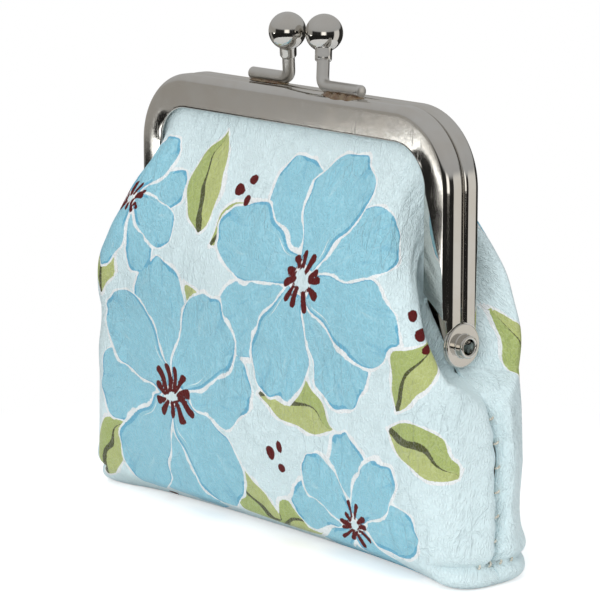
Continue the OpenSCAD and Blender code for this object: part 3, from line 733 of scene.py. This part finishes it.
# soft cover: one sheet for each side, from the channel over the swelling panel to the boxed pouch and under its base
# pairs are in the middle and beside the arms; spans are shares of the way from the seam to the middle
pouch = dict(baseHalfW=61.0, bodyHalfW=59.5, mouthHalfW=58.4, baseHalfD=12.0, bodyHalfD=14.6, mouthHalfD=14.8,
             bodyZ=22.0, baseCornerR=9.0, bodyCornerR=11.0, belly=1.8, baseWaist=5.0, waistZ=5.0, rollR=2.4,
             cornerSeamZ=4.8, seamDepth=0.9, seamHalfW=1.5, tuckHalfW=8.0, tuckX=47.7, tuckSpan=0.1, tuckRise=3.2,
             tuckSpread=4.0, leatherT=1.0, liningT=0.25, liningGap=1.15, liningHang=1.2, liningSeam=2.8,
             liningCorner=1.3, tuckDepth=4.0, channelY=3.55, channelPast=0.6, armLift=1.2, exitPull=(9.0, 4.2),
             exitRise=(1.5, 6.2), armSpan=(0.62, 0.12), liftSpan=(0.42, 0.2), fallSwell=4.1, fallSide=-4.8,
             fallPull=24.0, seamPull=1 / 3, puff=7.5)
# pairs are for the left and the right of the sheet, seen from its own side
sheetSides = dict(front=dict(seed=3, deeper=0.5, puffs=(0.8, -6.0), rises=(1.0, 0.3), sides=(1.0, 2.2),
                             pulls=(1.0, 0.5), arch=1.2),
                  rear=dict(seed=8, deeper=-0.6, puffs=(0.0, 0.0), rises=(1.0, 1.0), sides=(1.0, 1.0),
                            pulls=(1.0, 1.0), arch=0.6))
coverRows, coverCols = dict(tuck=4, panel=64, wall=84, floor=14), 271
liningRows, liningCols = dict(tuck=3, panel=34, wall=40, floor=8), 121
crowding = dict(seam=1.22, base=1.25)        # powers that crowd columns toward the seams and rows toward the base


def bow(z, low, middle, high):               # parabola through the values at the base, the widest level and the mouth
    a, b = pouch["bodyZ"], mouthZ
    return low * (z - a) * (z - b) / (a * b) + middle * z * (z - b) / (a * (a - b)) + high * z * (z - a) / (b * (b - a))


def outline(q, z, deeper=0.0):
    # plan outline at height z: a rounded rectangle by length, bellied in the middle, with a valley at the side seam
    # q is 0 at the seam and 1 at the middle of the front
    p = pouch
    under = p["rollR"] - np.minimum(z, p["rollR"])
    roll = p["rollR"] - np.sqrt(p["rollR"] ** 2 - under ** 2)
    w = bow(z, p["baseHalfW"], p["bodyHalfW"], p["mouthHalfW"]) - roll
    d = bow(z, p["baseHalfD"], p["bodyHalfD"], p["mouthHalfD"]) - roll + deeper * ease(0, 14, z)
    r = np.minimum(d - 1, mix(p["baseCornerR"], p["bodyCornerR"], ease(0, p["bodyZ"], z)))
    arc = r * math.pi / 2
    run = q * (d - r + arc + w - r)
    turn = np.clip((run - d + r) / r, 0, math.pi / 2)
    x = w - r + r * np.cos(turn) - np.maximum(run - (d - r + arc), 0)
    y = np.minimum(run, d - r) + r * np.sin(turn)
    share = np.abs(x / w)
    swell = p["belly"] * ease(0, p["bodyZ"], z) * (1 - share ** 2) ** 2
    waist = p["baseWaist"] * ease(p["waistZ"], 0, z) * (1 - share ** 6)
    y = y * (1 + (swell - waist) / d)
    # toward the mouth the valley grows into the tuck behind the hinge
    tuck, spread = np.exp((z - mouthZ) / p["tuckRise"]), np.exp((z - mouthZ) / p["tuckSpread"])
    deep = p["seamDepth"] * ease(0, 2 * p["cornerSeamZ"], z) + (p["mouthHalfW"] - p["tuckX"] - p["seamDepth"]) * tuck
    wide = mix(p["seamHalfW"], p["tuckHalfW"], spread)
    return x - deep * np.exp(-(y / wide) ** (2 + 2 * spread)), y


def track(p, inset):
    # line inside the channel from the arm's low end to the middle of the top: place and inward direction
    cornerR = channel["cornerR"]
    low, cornerZ = hingeZ + channel["backLow"] + 1, topZ - cornerR
    arm, r = cornerZ - low, cornerR - inset
    arc = r * math.pi / 2
    run = p * (arm + arc + armX - cornerR)
    turn = np.clip((run - arm) / r, 0, math.pi / 2)
    x = armX - cornerR + r * np.cos(turn) - np.maximum(run - arm - arc, 0)
    z = low + np.minimum(run, arm) + r * np.sin(turn)
    return x, z, -np.cos(turn), -np.sin(turn)


def panelLines(p, puffExtra, riseShare, sideShare, pullShare, deeper):
    # start in the channel, then a cubic curve: mouth of the channel, two handles, mouth of the pouch
    s = pouch
    deepX, deepZ, _, _ = track(p, channel["faceW"] - s["tuckDepth"])
    edgeX, edgeZ, nx, nz = track(p, channel["faceW"])
    besideArm, loose = ease(*s["armSpan"], p), 1 - ease(s["tuckSpan"], 0, p)
    footX, footY = outline(p, np.full_like(p, mouthZ), deeper)
    inChannel = -s["channelY"] + s["armLift"] * ease(*s["liftSpan"], p)
    start = np.stack([np.minimum(deepX, s["tuckX"]), inChannel, deepZ], -1)
    mouth = np.stack([edgeX + nx * s["channelPast"], inChannel, edgeZ + nz * s["channelPast"]], -1)
    base = np.stack([footX, -np.maximum(footY, 0.0), np.full_like(p, mouthZ)], -1)
    pull = mix(*s["exitPull"], besideArm)
    rise = mix(*s["exitRise"], besideArm) * loose * mix(1, riseShare, besideArm)
    swell = mix(s["fallSwell"], s["puff"] + puffExtra, besideArm) * loose
    hand1 = mouth + np.stack([nx * pull, -rise, nz * pull], -1)
    fall = s["fallPull"] * mix(s["seamPull"], 1, loose) * mix(1, pullShare, besideArm)
    hand2 = base + np.stack([s["fallSide"] * sideShare * besideArm * loose, -swell, fall], -1)
    return start, mouth, hand1, hand2, base


def belowFrame(grid, rows):                  # distance down each column from the mouth of the channel
    return np.concatenate([np.zeros((rows["tuck"], grid.shape[1])), runLength(grid[rows["tuck"]:], 0)])


def coverGrid(side, rows, cols):
    # rows run from inside the channel to the middle of the base, columns from the left seam to the right seam
    s = sheetSides[side]
    u = np.linspace(-1, 1, cols)
    p = (1 - np.abs(u)) ** crowding["seam"]
    shares = [np.where(u < 0, *s[key]) for key in ("puffs", "rises", "sides", "pulls")]
    sign = np.where(u < 0, -1.0, 1.0)
    start, mouth, hand1, hand2, base = panelLines(p, *shares, s["deeper"])
    k = np.linspace(0, 1, rows["tuck"], endpoint=False)[:, None, None]
    tuck = mix(start, mouth, k)
    t = np.linspace(0, 1, rows["panel"], endpoint=False)[:, None, None]
    panel = mouth * (1 - t) ** 3 + 3 * hand1 * t * (1 - t) ** 2 + 3 * hand2 * t ** 2 * (1 - t) + base * t ** 3
    fall = np.linspace(0, 1, rows["wall"])
    z = (mouthZ * (1 - fall) ** crowding["base"])[:, None] + 0 * p
    x, y = outline(p[None, :], z, s["deeper"])
    wall = np.stack([x, -y, z], -1)
    # the base's rows close in on the middle line
    k = np.linspace(0, 1, rows["floor"] + 1)[1:, None]
    foot = wall[-1]
    spine = np.minimum(foot[:, 0], p.max() * (foot[:, 0].max() - np.abs(foot[:, 1]).max()))
    floor = np.stack([mix(foot[:, 0], spine, k), mix(foot[:, 1], 0, k), 0 * foot[:, 2] + 0 * k], -1)
    grid = np.concatenate([tuck, panel, wall, floor])
    grid[..., 0] *= sign
    return grid, u, p


# wave length, slowness away from the frame, reach, and height in the middle and beside the arms
gathers = [(6.5, 0.18, 9.0, (0.10, 0.42)), (3.2, 0.5, 4.5, (0.02, 0.16))]
dents = [(26, 1.0, 0.32), (13, 1.4, 0.12)]   # wave length, stretch along x, height
# creases have depth and width, rolls have height, place and width
sideSeam = dict(crease=(1.3, 0.55), roll=(0.6, 3.2, 2.0), wrinkle=0.10)
cornerSeam = dict(crease=(1.7, 0.5), rolls=[(0.7, 2.2, 1.6), (0.5, 7.4, 2.0)])
stitch = dict(sideZ=np.arange(9.0, 35.0, 5.0), cornerY=np.array([-4.5, -1.5, 1.5, 4.5]), wire=0.24, reach=0.75,
              dimple=0.28)


def softRelief(grid, u, p, side, rows):
    # height to add along the normals: seam rolls, gathers at the frame, broad dents and stitch dimples
    seed = sheetSides[side]["seed"]
    x, y, z = np.moveaxis(grid, -1, 0)
    wallStart = rows["tuck"] + rows["panel"]
    row = np.arange(len(grid))[:, None]
    onWall = (row >= wallStart) & (row < wallStart + rows["wall"])
    fromFrame = belowFrame(grid, rows)
    beside = ease(0.75, 0.2, p)[None, :]
    along = p[None, :] * 95 * np.sign(u)[None, :]
    relief = 0 * x
    for k, (size, slow, reach, heights) in enumerate(gathers):
        relief += waves(along, fromFrame * slow, size, seed + k) * np.exp(-fromFrame / reach) * mix(*heights, beside)
    for k, (size, stretch, height) in enumerate(dents):
        relief += waves(x * stretch, z, size, seed + 2 + k) * height * ease(2, 14, fromFrame) * ease(1.0, 7, z)
    relief *= ease(0.3, 4, fromFrame)        # nothing moves where the channel grips
    # side seam: a sharp crease between two rolls
    low = onWall * ease(mouthZ - 1, mouthZ - 9, z) * ease(2, 7, z)
    fromSeam = np.abs(y)
    (depth, width), (height, place, spread) = sideSeam["crease"], sideSeam["roll"]
    relief += low * (height * bell(fromSeam - place, spread) - depth * np.exp(-fromSeam / width))
    wrinkle = waves(y * 0.35, z, 5.2, seed + 4) * bell(fromSeam - 4, 5)
    relief += low * sideSeam["wrinkle"] * wrinkle * ease(52, 57, np.abs(x))
    # corner seam: a crease across the side, with the base strip rolled out below it
    onSide = ease(pouch["baseHalfW"] - 10, pouch["baseHalfW"] - 4.4, np.abs(x)) * onWall
    seamZ, (depth, width) = pouch["cornerSeamZ"], cornerSeam["crease"]
    rolls = sum(height * bell(z - place, spread) for height, place, spread in cornerSeam["rolls"])
    relief += onSide * (rolls - depth * np.exp(-np.abs(z - seamZ) / width))
    # dimples where the stitches pull
    pull = sum(bell(z - k, 1.0) for k in stitch["sideZ"]) * bell(fromSeam - 1.2, 1.2) * onWall
    pull = pull + sum(bell(y - k, 0.9) for k in stitch["cornerY"]) * bell(z - seamZ, 1.5) * onSide
    return relief - stitch["dimple"] * pull * ease(50, 56, np.abs(x))


def shapedCover(side, rows, cols):
    grid, u, p = coverGrid(side, rows, cols)
    relief = softRelief(grid, u, p, side, rows)
    normal = gridNormals(grid)
    edge = np.abs(u) == 1
    normal[:, edge, 1] = 0                   # seam edges of both sides stay together
    normal[-rows["floor"] - 1:] = 0
    grid = grid + normal * relief[..., None]
    # the long lower edge arches up a little between the corners
    arch = sheetSides[side]["arch"] * (1 - np.clip(grid[..., 0] / 50, -1, 1) ** 2)
    grid[..., 2] += arch * ease(9, 0.5, grid[..., 2]) * ease(1, 9, np.abs(grid[..., 1]))
    return grid


seamBow = dict(z=(0, 5, 15, 27, 36, 42), y=(0.0, -0.4, 1.5, 2.3, 1.0, 0.0), wide=6.0)


def bowedSeam(grid):
    # the right side seam wanders: points near it shift along the depth by an amount set by their height
    shift = np.interp(grid[..., 2], seamBow["z"], seamBow["y"]) * bell(grid[..., 1], seamBow["wide"])
    shift = shift * ease(44, 54, grid[..., 0])
    return np.stack([grid[..., 0], grid[..., 1] + shift, grid[..., 2]], -1)


# printed design, in millimetres on the laid-out sheet: origin at the middle of the pouch's mouth, second number up
# a blossom has its middle, radius and first angle; a leaf its foot, angle, length and half width; a berry a radius
blossoms = dict(front=[(-24.0, -15.0, 31.0, 0.15), (19.0, 17.0, 29.0, 0.5), (33.0, -33.0, 19.0, 0.0),
                       (-41.0, 27.0, 17.0, 0.35)],
                rear=[(22.0, -12.0, 31.0, 0.3), (-22.0, 18.0, 27.0, 0.1), (-40.0, -30.0, 19.0, 0.4),
                      (43.0, 25.0, 15.0, 0.2)])
leaves = dict(front=[(3, -3, 2.6, 26, 6.0), (6, -9, -0.2, 24, 5.6), (-16, 22, 1.7, 24, 5.5), (-12, 20, 0.5, 20, 4.6),
                     (47, -6, 1.0, 20, 4.8), (45, -10, -0.6, 19, 4.6), (9, -38, 2.5, 22, 5.2), (6, -41, 0.3, 20, 4.8),
                     (-50, 4, 1.2, 20, 5.0), (-56, -2, 2.2, 18, 4.4), (-54, -40, 0.9, 22, 5.0)],
              rear=[(-2, -2, 0.6, 26, 6.0), (-6, -8, 3.3, 24, 5.6), (14, 24, 1.3, 24, 5.5), (10, 20, 2.6, 20, 4.6),
                    (-48, -4, 2.1, 20, 4.8), (-8, -36, 0.7, 22, 5.2), (50, -4, 1.0, 20, 5.0)])
berries = dict(front=[(-8, 33, 1.5), (-4.6, 35.6, 1.2), (-5.2, 31.2, 1.1), (52, 12, 1.5), (49.6, 15.4, 1.2),
                      (53.4, 8.2, 1.1), (9, -22, 1.4), (12, -19.6, 1.1), (12.6, -24.2, 1.2), (-36, -45, 1.4)],
               rear=[(6, 33, 1.5), (2.6, 35.6, 1.2), (-50, 12, 1.5), (-52, 8, 1.1), (-9, -22, 1.4), (-12, -19.6, 1.1)])
# shares of a blossom's radius, as ranges to draw from
petals = dict(count=8, turn=0.07, length=(0.92, 1.06), width=(0.27, 0.31), bow=0.05)
stamens = dict(count=11, turn=0.12, near=(0.05, 0.09), out=(0.15, 0.25), thin=0.016, thick=0.032)


def turned(x, y, centreX, centreY, angle):
    dx, dy = x - centreX, y - centreY
    return dx * math.cos(angle) + dy * math.sin(angle), -dx * math.sin(angle) + dy * math.cos(angle)


def petalShape(a, b, length, width):
    # signed distance: a widening stem part, closed by half an ellipse with a shallow double notch
    mid = 0.62 * length
    notch = 1 - 0.035 * (1 - np.cos(3 * math.pi * np.clip(b / width, -1, 1)))
    reach = (length - mid) * notch
    k = np.sqrt(((a - mid) / reach) ** 2 + (b / width) ** 2)
    slope = np.sqrt(((a - mid) / reach ** 2) ** 2 + (b / width ** 2) ** 2) / np.maximum(k, 1e-3)
    cap = (k - 1) / np.maximum(slope, 1e-3)
    stem = (np.abs(b) - width * (0.16 + 0.84 * np.clip(a / mid, 0, 1) ** 0.9)) * 0.92
    return np.where(a > mid, cap, np.maximum(stem, 0.1 * length - a))


def leafShape(a, b, length, width):
    # signed distance: two arcs that meet in points
    half = width * np.sin(math.pi * np.clip(a / length, 0, 1) ** 0.85)
    return np.maximum((np.abs(b) - half) * 0.9, np.maximum(-a, a - length))


def strokeShape(x, y, x0, y0, x1, y1, r0, r1):
    # signed distance: a round-ended stroke that widens along its length
    dx, dy = x1 - x0, y1 - y0
    t = np.clip(((x - x0) * dx + (y - y0) * dy) / (dx * dx + dy * dy), 0, 1)
    return np.hypot(x - x0 - t * dx, y - y0 - t * dy) - mix(r0, r1, t)


def printFields(x, y, side):
    # layers from the bottom up: leaves, the under petals, the over petals, then stamens and berries
    draw = np.random.default_rng(sheetSides[side]["seed"] + 40)
    far = np.full_like(x, 50.0)
    leafD, leafA, leafB, spot = far.copy(), 0 * x, 0 * x, far.copy()
    layers = [[far.copy(), 0 * x, 0 * x] for _ in range(2)]
    wobbleX, wobbleY = x + 0.5 * waves(x, y, 9, 21), y + 0.5 * waves(x, y, 9, 22)
    for centreX, centreY, angle, length, width in leaves[side]:
        a, b = turned(wobbleX, wobbleY, centreX, centreY, angle)
        b = b - 0.10 * length * np.sin(math.pi * np.clip(a / length, 0, 1))
        d = leafShape(a, b, length, width)
        near = d < leafD
        leafD, leafA, leafB = (np.where(near, *pair) for pair in ((d, leafD), (a / length, leafA), (b, leafB)))
    for centreX, centreY, radius, phase in blossoms[side]:
        for k in range(petals["count"]):
            angle = phase + math.tau * k / petals["count"] + draw.uniform(-petals["turn"], petals["turn"])
            length, width = radius * draw.uniform(*petals["length"]), radius * draw.uniform(*petals["width"])
            a, b = turned(wobbleX, wobbleY, centreX, centreY, angle)
            b = b + petals["bow"] * radius * np.sin(2.4 * a / radius) * draw.choice([-1, 1])
            d = petalShape(a, b, length, width)
            layer = layers[k % 2]
            near = d < layer[0]
            for n, values in enumerate((d, a / length, b)):
                layer[n] = np.where(near, values, layer[n])
        for k in range(stamens["count"]):
            angle = phase + math.tau * k / stamens["count"] + draw.uniform(-stamens["turn"], stamens["turn"])
            near, out = radius * draw.uniform(*stamens["near"]), radius * draw.uniform(*stamens["out"])
            c, s = math.cos(angle), math.sin(angle)
            d = strokeShape(wobbleX, wobbleY, centreX + near * c, centreY + near * s, centreX + out * c,
                            centreY + out * s, stamens["thin"] * radius, stamens["thick"] * radius)
            spot = np.minimum(spot, d)
    for centreX, centreY, radius in berries[side]:
        spot = np.minimum(spot, np.hypot(wobbleX - centreX, wobbleY - centreY) - radius)
    return dict(leaf=np.stack([leafD, leafA, leafB], -1), petalUnder=np.stack(layers[0], -1),
                petalOver=np.stack(layers[1], -1), ink=np.stack([spot, 0 * x, 0 * x], -1))


def layOut(grid, rows):
    # flat place of every point: length along the rows from the middle, length along the columns from the pouch's mouth
    middle = grid.shape[1] // 2
    across = runLength(grid, 1)
    across = across - across[:, middle:middle + 1]
    down = runLength(grid, 0)
    mouthRow = rows["tuck"] + rows["panel"]
    return across, down[mouthRow:mouthRow + 1] - down


def covers():
    for side, body, nodes in (("front", "front_half", ("front_panel", "front_fold", "pouch_shell")),
                              ("rear", "rear_half", ("rear_panel", "rear_fold"))):
        grid = shapedCover(side, coverRows, coverCols)
        flatX, flatY = layOut(grid, coverRows)
        fields = printFields(flatX, flatY, side)
        fields["flatPlace"] = np.stack([flatX, flatY, 0 * flatX], -1) * mm
        if side == "rear":
            grid = halfTurn(grid)
        grid = bowedSeam(grid)
        piece = makePiece(side + "_cover", [(grid, False)], leather, "leather", outward=False, attributes=fields)
        giveWall(piece, pouch["leatherT"])
        bendAcrossHinge(piece)
        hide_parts(*nodes)


def linings():
    for side, body, nodes in (("front", "front_half", ("front_lining", "front_lining_fold", "pouch_lining")),
                              ("rear", "rear_half", ("rear_lining", "rear_lining_fold"))):
        rows = liningRows
        grid, u, _ = coverGrid(side, rows, liningCols)
        normal = gridNormals(grid)
        normal[:rows["tuck"] + 1] = (0, -1, 0)
        normal[:, np.abs(u) == 1] = np.array([1, 0, 0]) * np.sign(u[np.abs(u) == 1])[:, None]
        normal[-rows["floor"]:] = (0, 0, -1)
        # the lining stands off from the seams and hangs a little loose below the channel
        x, y, z = np.abs(grid[..., 0]), grid[..., 1], grid[..., 2]
        off = pouch["liningGap"] + pouch["liningHang"] * ease(1, 9, belowFrame(grid, rows))
        off += pouch["liningSeam"] * bell(y, 6) * ease(46, 55, x) * ease(mouthZ - 2, mouthZ - 9, z)
        off += pouch["liningCorner"] * ease(12, 7, z) * ease(36, 50, x)
        grid = grid - normal * off[..., None]
        flatX, flatY = layOut(grid, rows)
        flat = dict(flatPlace=np.stack([flatX, flatY, 0 * flatX], -1) * mm)
        if side == "rear":
            grid = halfTurn(grid)
        piece = makePiece(side + "_lining_sheet", [(grid, False)], lining, "lining", outward=False, attributes=flat)
        giveWall(piece, pouch["liningT"])
        bendAcrossHinge(piece)
        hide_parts(*nodes)


def bendAcrossHinge(piece):
    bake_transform(piece)


# stitches: short bowed threads across the seams
def stitchGrid(start, end, lift, wire):
    # a round thread carried along a shallow bow, tapering into the leather at both ends
    t = np.linspace(0, 1, 13)[:, None]
    path = mix(np.array(start), np.array(end), t) + np.array(lift) * np.sin(math.pi * t)
    direction = (np.array(end) - np.array(start)) / np.linalg.norm(np.array(end) - np.array(start))
    up = np.array(lift) / np.linalg.norm(lift)
    side = np.cross(direction, up)
    angle = fullTurn(12)
    radius = wire * np.sqrt(np.clip(1 - (2 * t - 1) ** 6, 0.02, 1))
    ring = up * np.cos(angle)[:, None] + side * np.sin(angle)[:, None]
    return capped(path[:, None, :] + radius[:, :, None] * ring)


def stitches():
    seamZ, wire, reach = pouch["cornerSeamZ"], stitch["wire"], stitch["reach"]
    for hand, sign in (("right", 1.0), ("left", -1.0)):
        along = []
        for z in stitch["sideZ"]:
            x = sign * (outline(np.zeros(1), np.full(1, z))[0][0] - 0.5)
            y = np.interp(z, seamBow["z"], seamBow["y"]) if sign > 0 else 0.0
            along.append(stitchGrid((x, y - reach, z - 0.25), (x, y + reach, z + 0.25), (sign * 0.4, 0, 0), wire))
        x = sign * (outline(np.array([0.08]), np.full(1, seamZ))[0][0] - 0.75)
        across = [stitchGrid((x, y - 0.2, seamZ - reach), (x, y + 0.2, seamZ + reach), (sign * 0.45, 0, 0), wire)
                  for y in stitch["cornerY"]]
        for seam, grids in ((hand + "_side", along), (hand + "_corner", across)):
            piece = makePiece(seam + "_stitches", [(grid, True) for grid in grids], thread, "thread")
            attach(piece, "pouch")
            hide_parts(seam + "_thread")


frameHalves()
rivets()
claspPieces()
covers()
linings()
stitches()
for name in ("front_cord", "rear_cord"):
    frame["nodes"][name].data.materials.clear()
    frame["nodes"][name].data.materials.append(paper)
print("pieces ready")

# stage: a pale floor that fades to white, soft lamps, and a studio with dark and light sides for the metal to show
studio = dict(floorR=0.17, floorColour=(0.93, 0.93, 0.93), floorLift=0.45, floorFade=(0.06, 0.13), dome=0.55)
lampAway = 0.9                               # metres from the target
lamps = dict(keyLamp=dict(azimuth=30, elevation=22, size=0.5, power=3.0),
             topLamp=dict(azimuth=-20, elevation=78, size=0.9, power=2.6),
             fillLamp=dict(azimuth=110, elevation=15, size=0.5, power=1.0))
view = dict(azimuth=49.37, elevation=11.35, distance=650.6, lens=182.4, targetX=-0.65, targetUp=1.75)


def aimed(obj, place, target):
    obj.location = place
    obj.rotation_euler = (target - place).to_track_quat("-Z", "Y").to_euler()


def fromTarget(azimuth, elevation, distance):
    a, e = math.radians(azimuth), math.radians(elevation)
    target = Vector((view["targetX"] * mm, 0, (hingeZ + view["targetUp"]) * mm))
    return target + Vector((math.sin(a) * math.cos(e), -math.cos(a) * math.cos(e), math.sin(e))) * distance, target


def makeCamera():
    camera = addObject("camera", bpy.data.cameras.new("camera"))
    camera.data.sensor_width, camera.data.lens = 36, view["lens"]
    camera.data.clip_start, camera.data.clip_end = 0.01, 20
    aimed(camera, *fromTarget(view["azimuth"], view["elevation"], view["distance"] * mm))
    bpy.context.scene.camera = camera


def makeLamp(name, azimuth, elevation, size, power):
    lamp = addObject(name, bpy.data.lights.new(name, "AREA"))
    lamp.data.size, lamp.data.energy = size, power
    lamp.visible_glossy = lamp.visible_camera = False
    aimed(lamp, *fromTarget(azimuth, elevation, lampAway))


def makeFloor():
    # a flat disc: rings that grow from its middle
    r = np.linspace(0, studio["floorR"], 20)[:, None]
    turn = fullTurn(96)[None, :]
    grid = np.stack([r * np.cos(turn), r * np.sin(turn), 0 * r * turn], -1)
    mesh = bpy.data.meshes.new("floor")
    mesh.from_pydata(grid.reshape(-1, 3).tolist(), [], gridFaces(*grid.shape[:2], True).tolist())
    floor = addObject("floor", mesh)
    material, n, shader = newMaterial("paleFloor")
    surface = shader.outputs[0].links[0].to_socket
    shader.inputs["Roughness"].default_value = 0.9
    shader.inputs["Specular IOR Level"].default_value = 0.1
    shader.inputs["Base Color"].default_value = (*studio["floorColour"], 1)
    away = n.add("ShaderNodeVectorMath", {0: n.place()}, operation="LENGTH").outputs["Value"]
    ray = n.add("ShaderNodeLightPath").outputs
    seen = n.math("MAXIMUM", ray["Is Camera Ray"], ray["Is Transmission Ray"])
    strength = n.math("MULTIPLY", seen, studio["floorLift"])
    lift = n.add("ShaderNodeEmission", {"Color": (1, 1, 1), "Strength": strength})
    lit = n.add("ShaderNodeAddShader", {0: shader.outputs[0], 1: lift.outputs[0]})
    white = n.add("ShaderNodeEmission", {"Color": (1, 1, 1), "Strength": 1.0})
    fade = n.math("MULTIPLY", n.span(away, *studio["floorFade"]), seen)
    faded = n.add("ShaderNodeMixShader", {0: fade, 1: lit.outputs[0], 2: white.outputs[0]})
    n.feed(surface, faded.outputs[0])
    floor.data.materials.append(material)


# what the metal sees round the room: headings in degrees from +X toward +Y, with the brightness there
roomUpper = [(-180, 0.42), (-122, 0.42), (-114, 0.03), (-62, 0.03), (-52, 1.7), (-35, 1.7), (-25, 0.03), (20, 0.03),
             (26, 0.85), (60, 0.85), (66, 0.03), (112, 0.05), (124, 0.42), (179, 0.42)]
roomLower = [(-180, 0.05), (-175, 0.36), (-158, 0.40), (-153, 0.02), (-110, 0.02), (20, 0.02), (26, 0.85), (60, 0.85),
             (66, 0.03), (150, 0.04), (179, 0.05)]
# light strips low in the room: heading and drop in degrees at one end, the same at the other end, and half widths
roomStrips = [((-137, 8.2), (-125, 9.5), 7.5, 1.0), ((-125, 9.8), (-133, 12.6), 1.5, 9.0)]
# colours, and drops in degrees over which one part of the room gives way to the next
room = dict(warm=(1.0, 0.97, 0.92), strip=(3.6, 3.6, 3.5), floor=(0.8, 0.8, 0.78), lowerFrom=(8.2, 8.6),
            domeFrom=(-6.0, -15.0), floorFrom=(46.0, 54.0))


def makeWorld():
    # straight views see white; reflections see a grey dome over dark and light sides, other light a plain dome
    world = bpy.data.worlds.new("studio")
    bpy.context.scene.world = world
    world.use_nodes = True
    tree = world.node_tree
    tree.nodes.clear()
    n = Nodes(tree)
    parts = n.add("ShaderNodeSeparateXYZ", {0: n.add("ShaderNodeTexCoord").outputs["Generated"]}).outputs
    heading = n.math("MULTIPLY", n.math("ARCTAN2", parts[1], parts[0]), math.degrees(1))
    drop = n.math("MULTIPLY", n.math("ARCSINE", parts[2]), -math.degrees(1))

    def sides(stops):
        node = n.add("ShaderNodeValToRGB", {0: n.math("MULTIPLY_ADD", heading, 1 / 360, 0.5)})
        ramp = node.color_ramp
        while len(ramp.elements) < len(stops):
            ramp.elements.new(0.5)
        for element, (degrees, level) in zip(ramp.elements, stops):
            element.position = degrees / 360 + 0.5
            element.color = (*(level * share for share in room["warm"]), 1)
        return node.outputs[0]
    dome = n.span(parts[2], -0.1, 0.9, studio["dome"] * 0.85, studio["dome"])
    plain = n.add("ShaderNodeCombineColor", {0: dome, 1: dome, 2: dome}).outputs[0]
    lower = sides(roomLower)
    for (turnA, dropA), (turnB, dropB), halfA, halfB in roomStrips:
        share = n.math("DIVIDE", n.math("SUBTRACT", drop, dropA), dropB - dropA)
        middle = n.math("MULTIPLY_ADD", share, turnB - turnA, turnA)
        half = n.math("MULTIPLY_ADD", share, halfB - halfA, halfA)
        off = n.math("SUBTRACT", n.math("ABSOLUTE", n.math("SUBTRACT", heading, middle)), half)
        inside = n.math("MULTIPLY", n.span(share, -0.05, 0.05), n.span(share, 1.05, 0.95))
        lower = n.blendColour(n.math("MULTIPLY", inside, n.span(off, 0.6, -0.6)), lower, room["strip"])
    shown = n.blendColour(n.span(drop, *room["lowerFrom"]), sides(roomUpper), lower)
    shown = n.blendColour(n.span(drop, *room["domeFrom"]), shown, plain)
    shown = n.blendColour(n.span(drop, *room["floorFrom"]), shown, room["floor"])
    ray = n.add("ShaderNodeLightPath").outputs
    colour = n.blendColour(ray["Is Glossy Ray"], plain, shown)
    seen = n.math("MAXIMUM", ray["Is Camera Ray"], ray["Is Transmission Ray"])
    colour = n.blendColour(seen, colour, (1, 1, 1))
    background = n.add("ShaderNodeBackground", {"Color": colour, "Strength": 1.0})
    n.add("ShaderNodeOutputWorld", {"Surface": background.outputs[0]})


makeCamera()
for name, values in lamps.items():
    makeLamp(name, **values)
makeFloor()
makeWorld()
bpy.context.scene.view_settings.view_transform = "Standard"
print("stage ready")
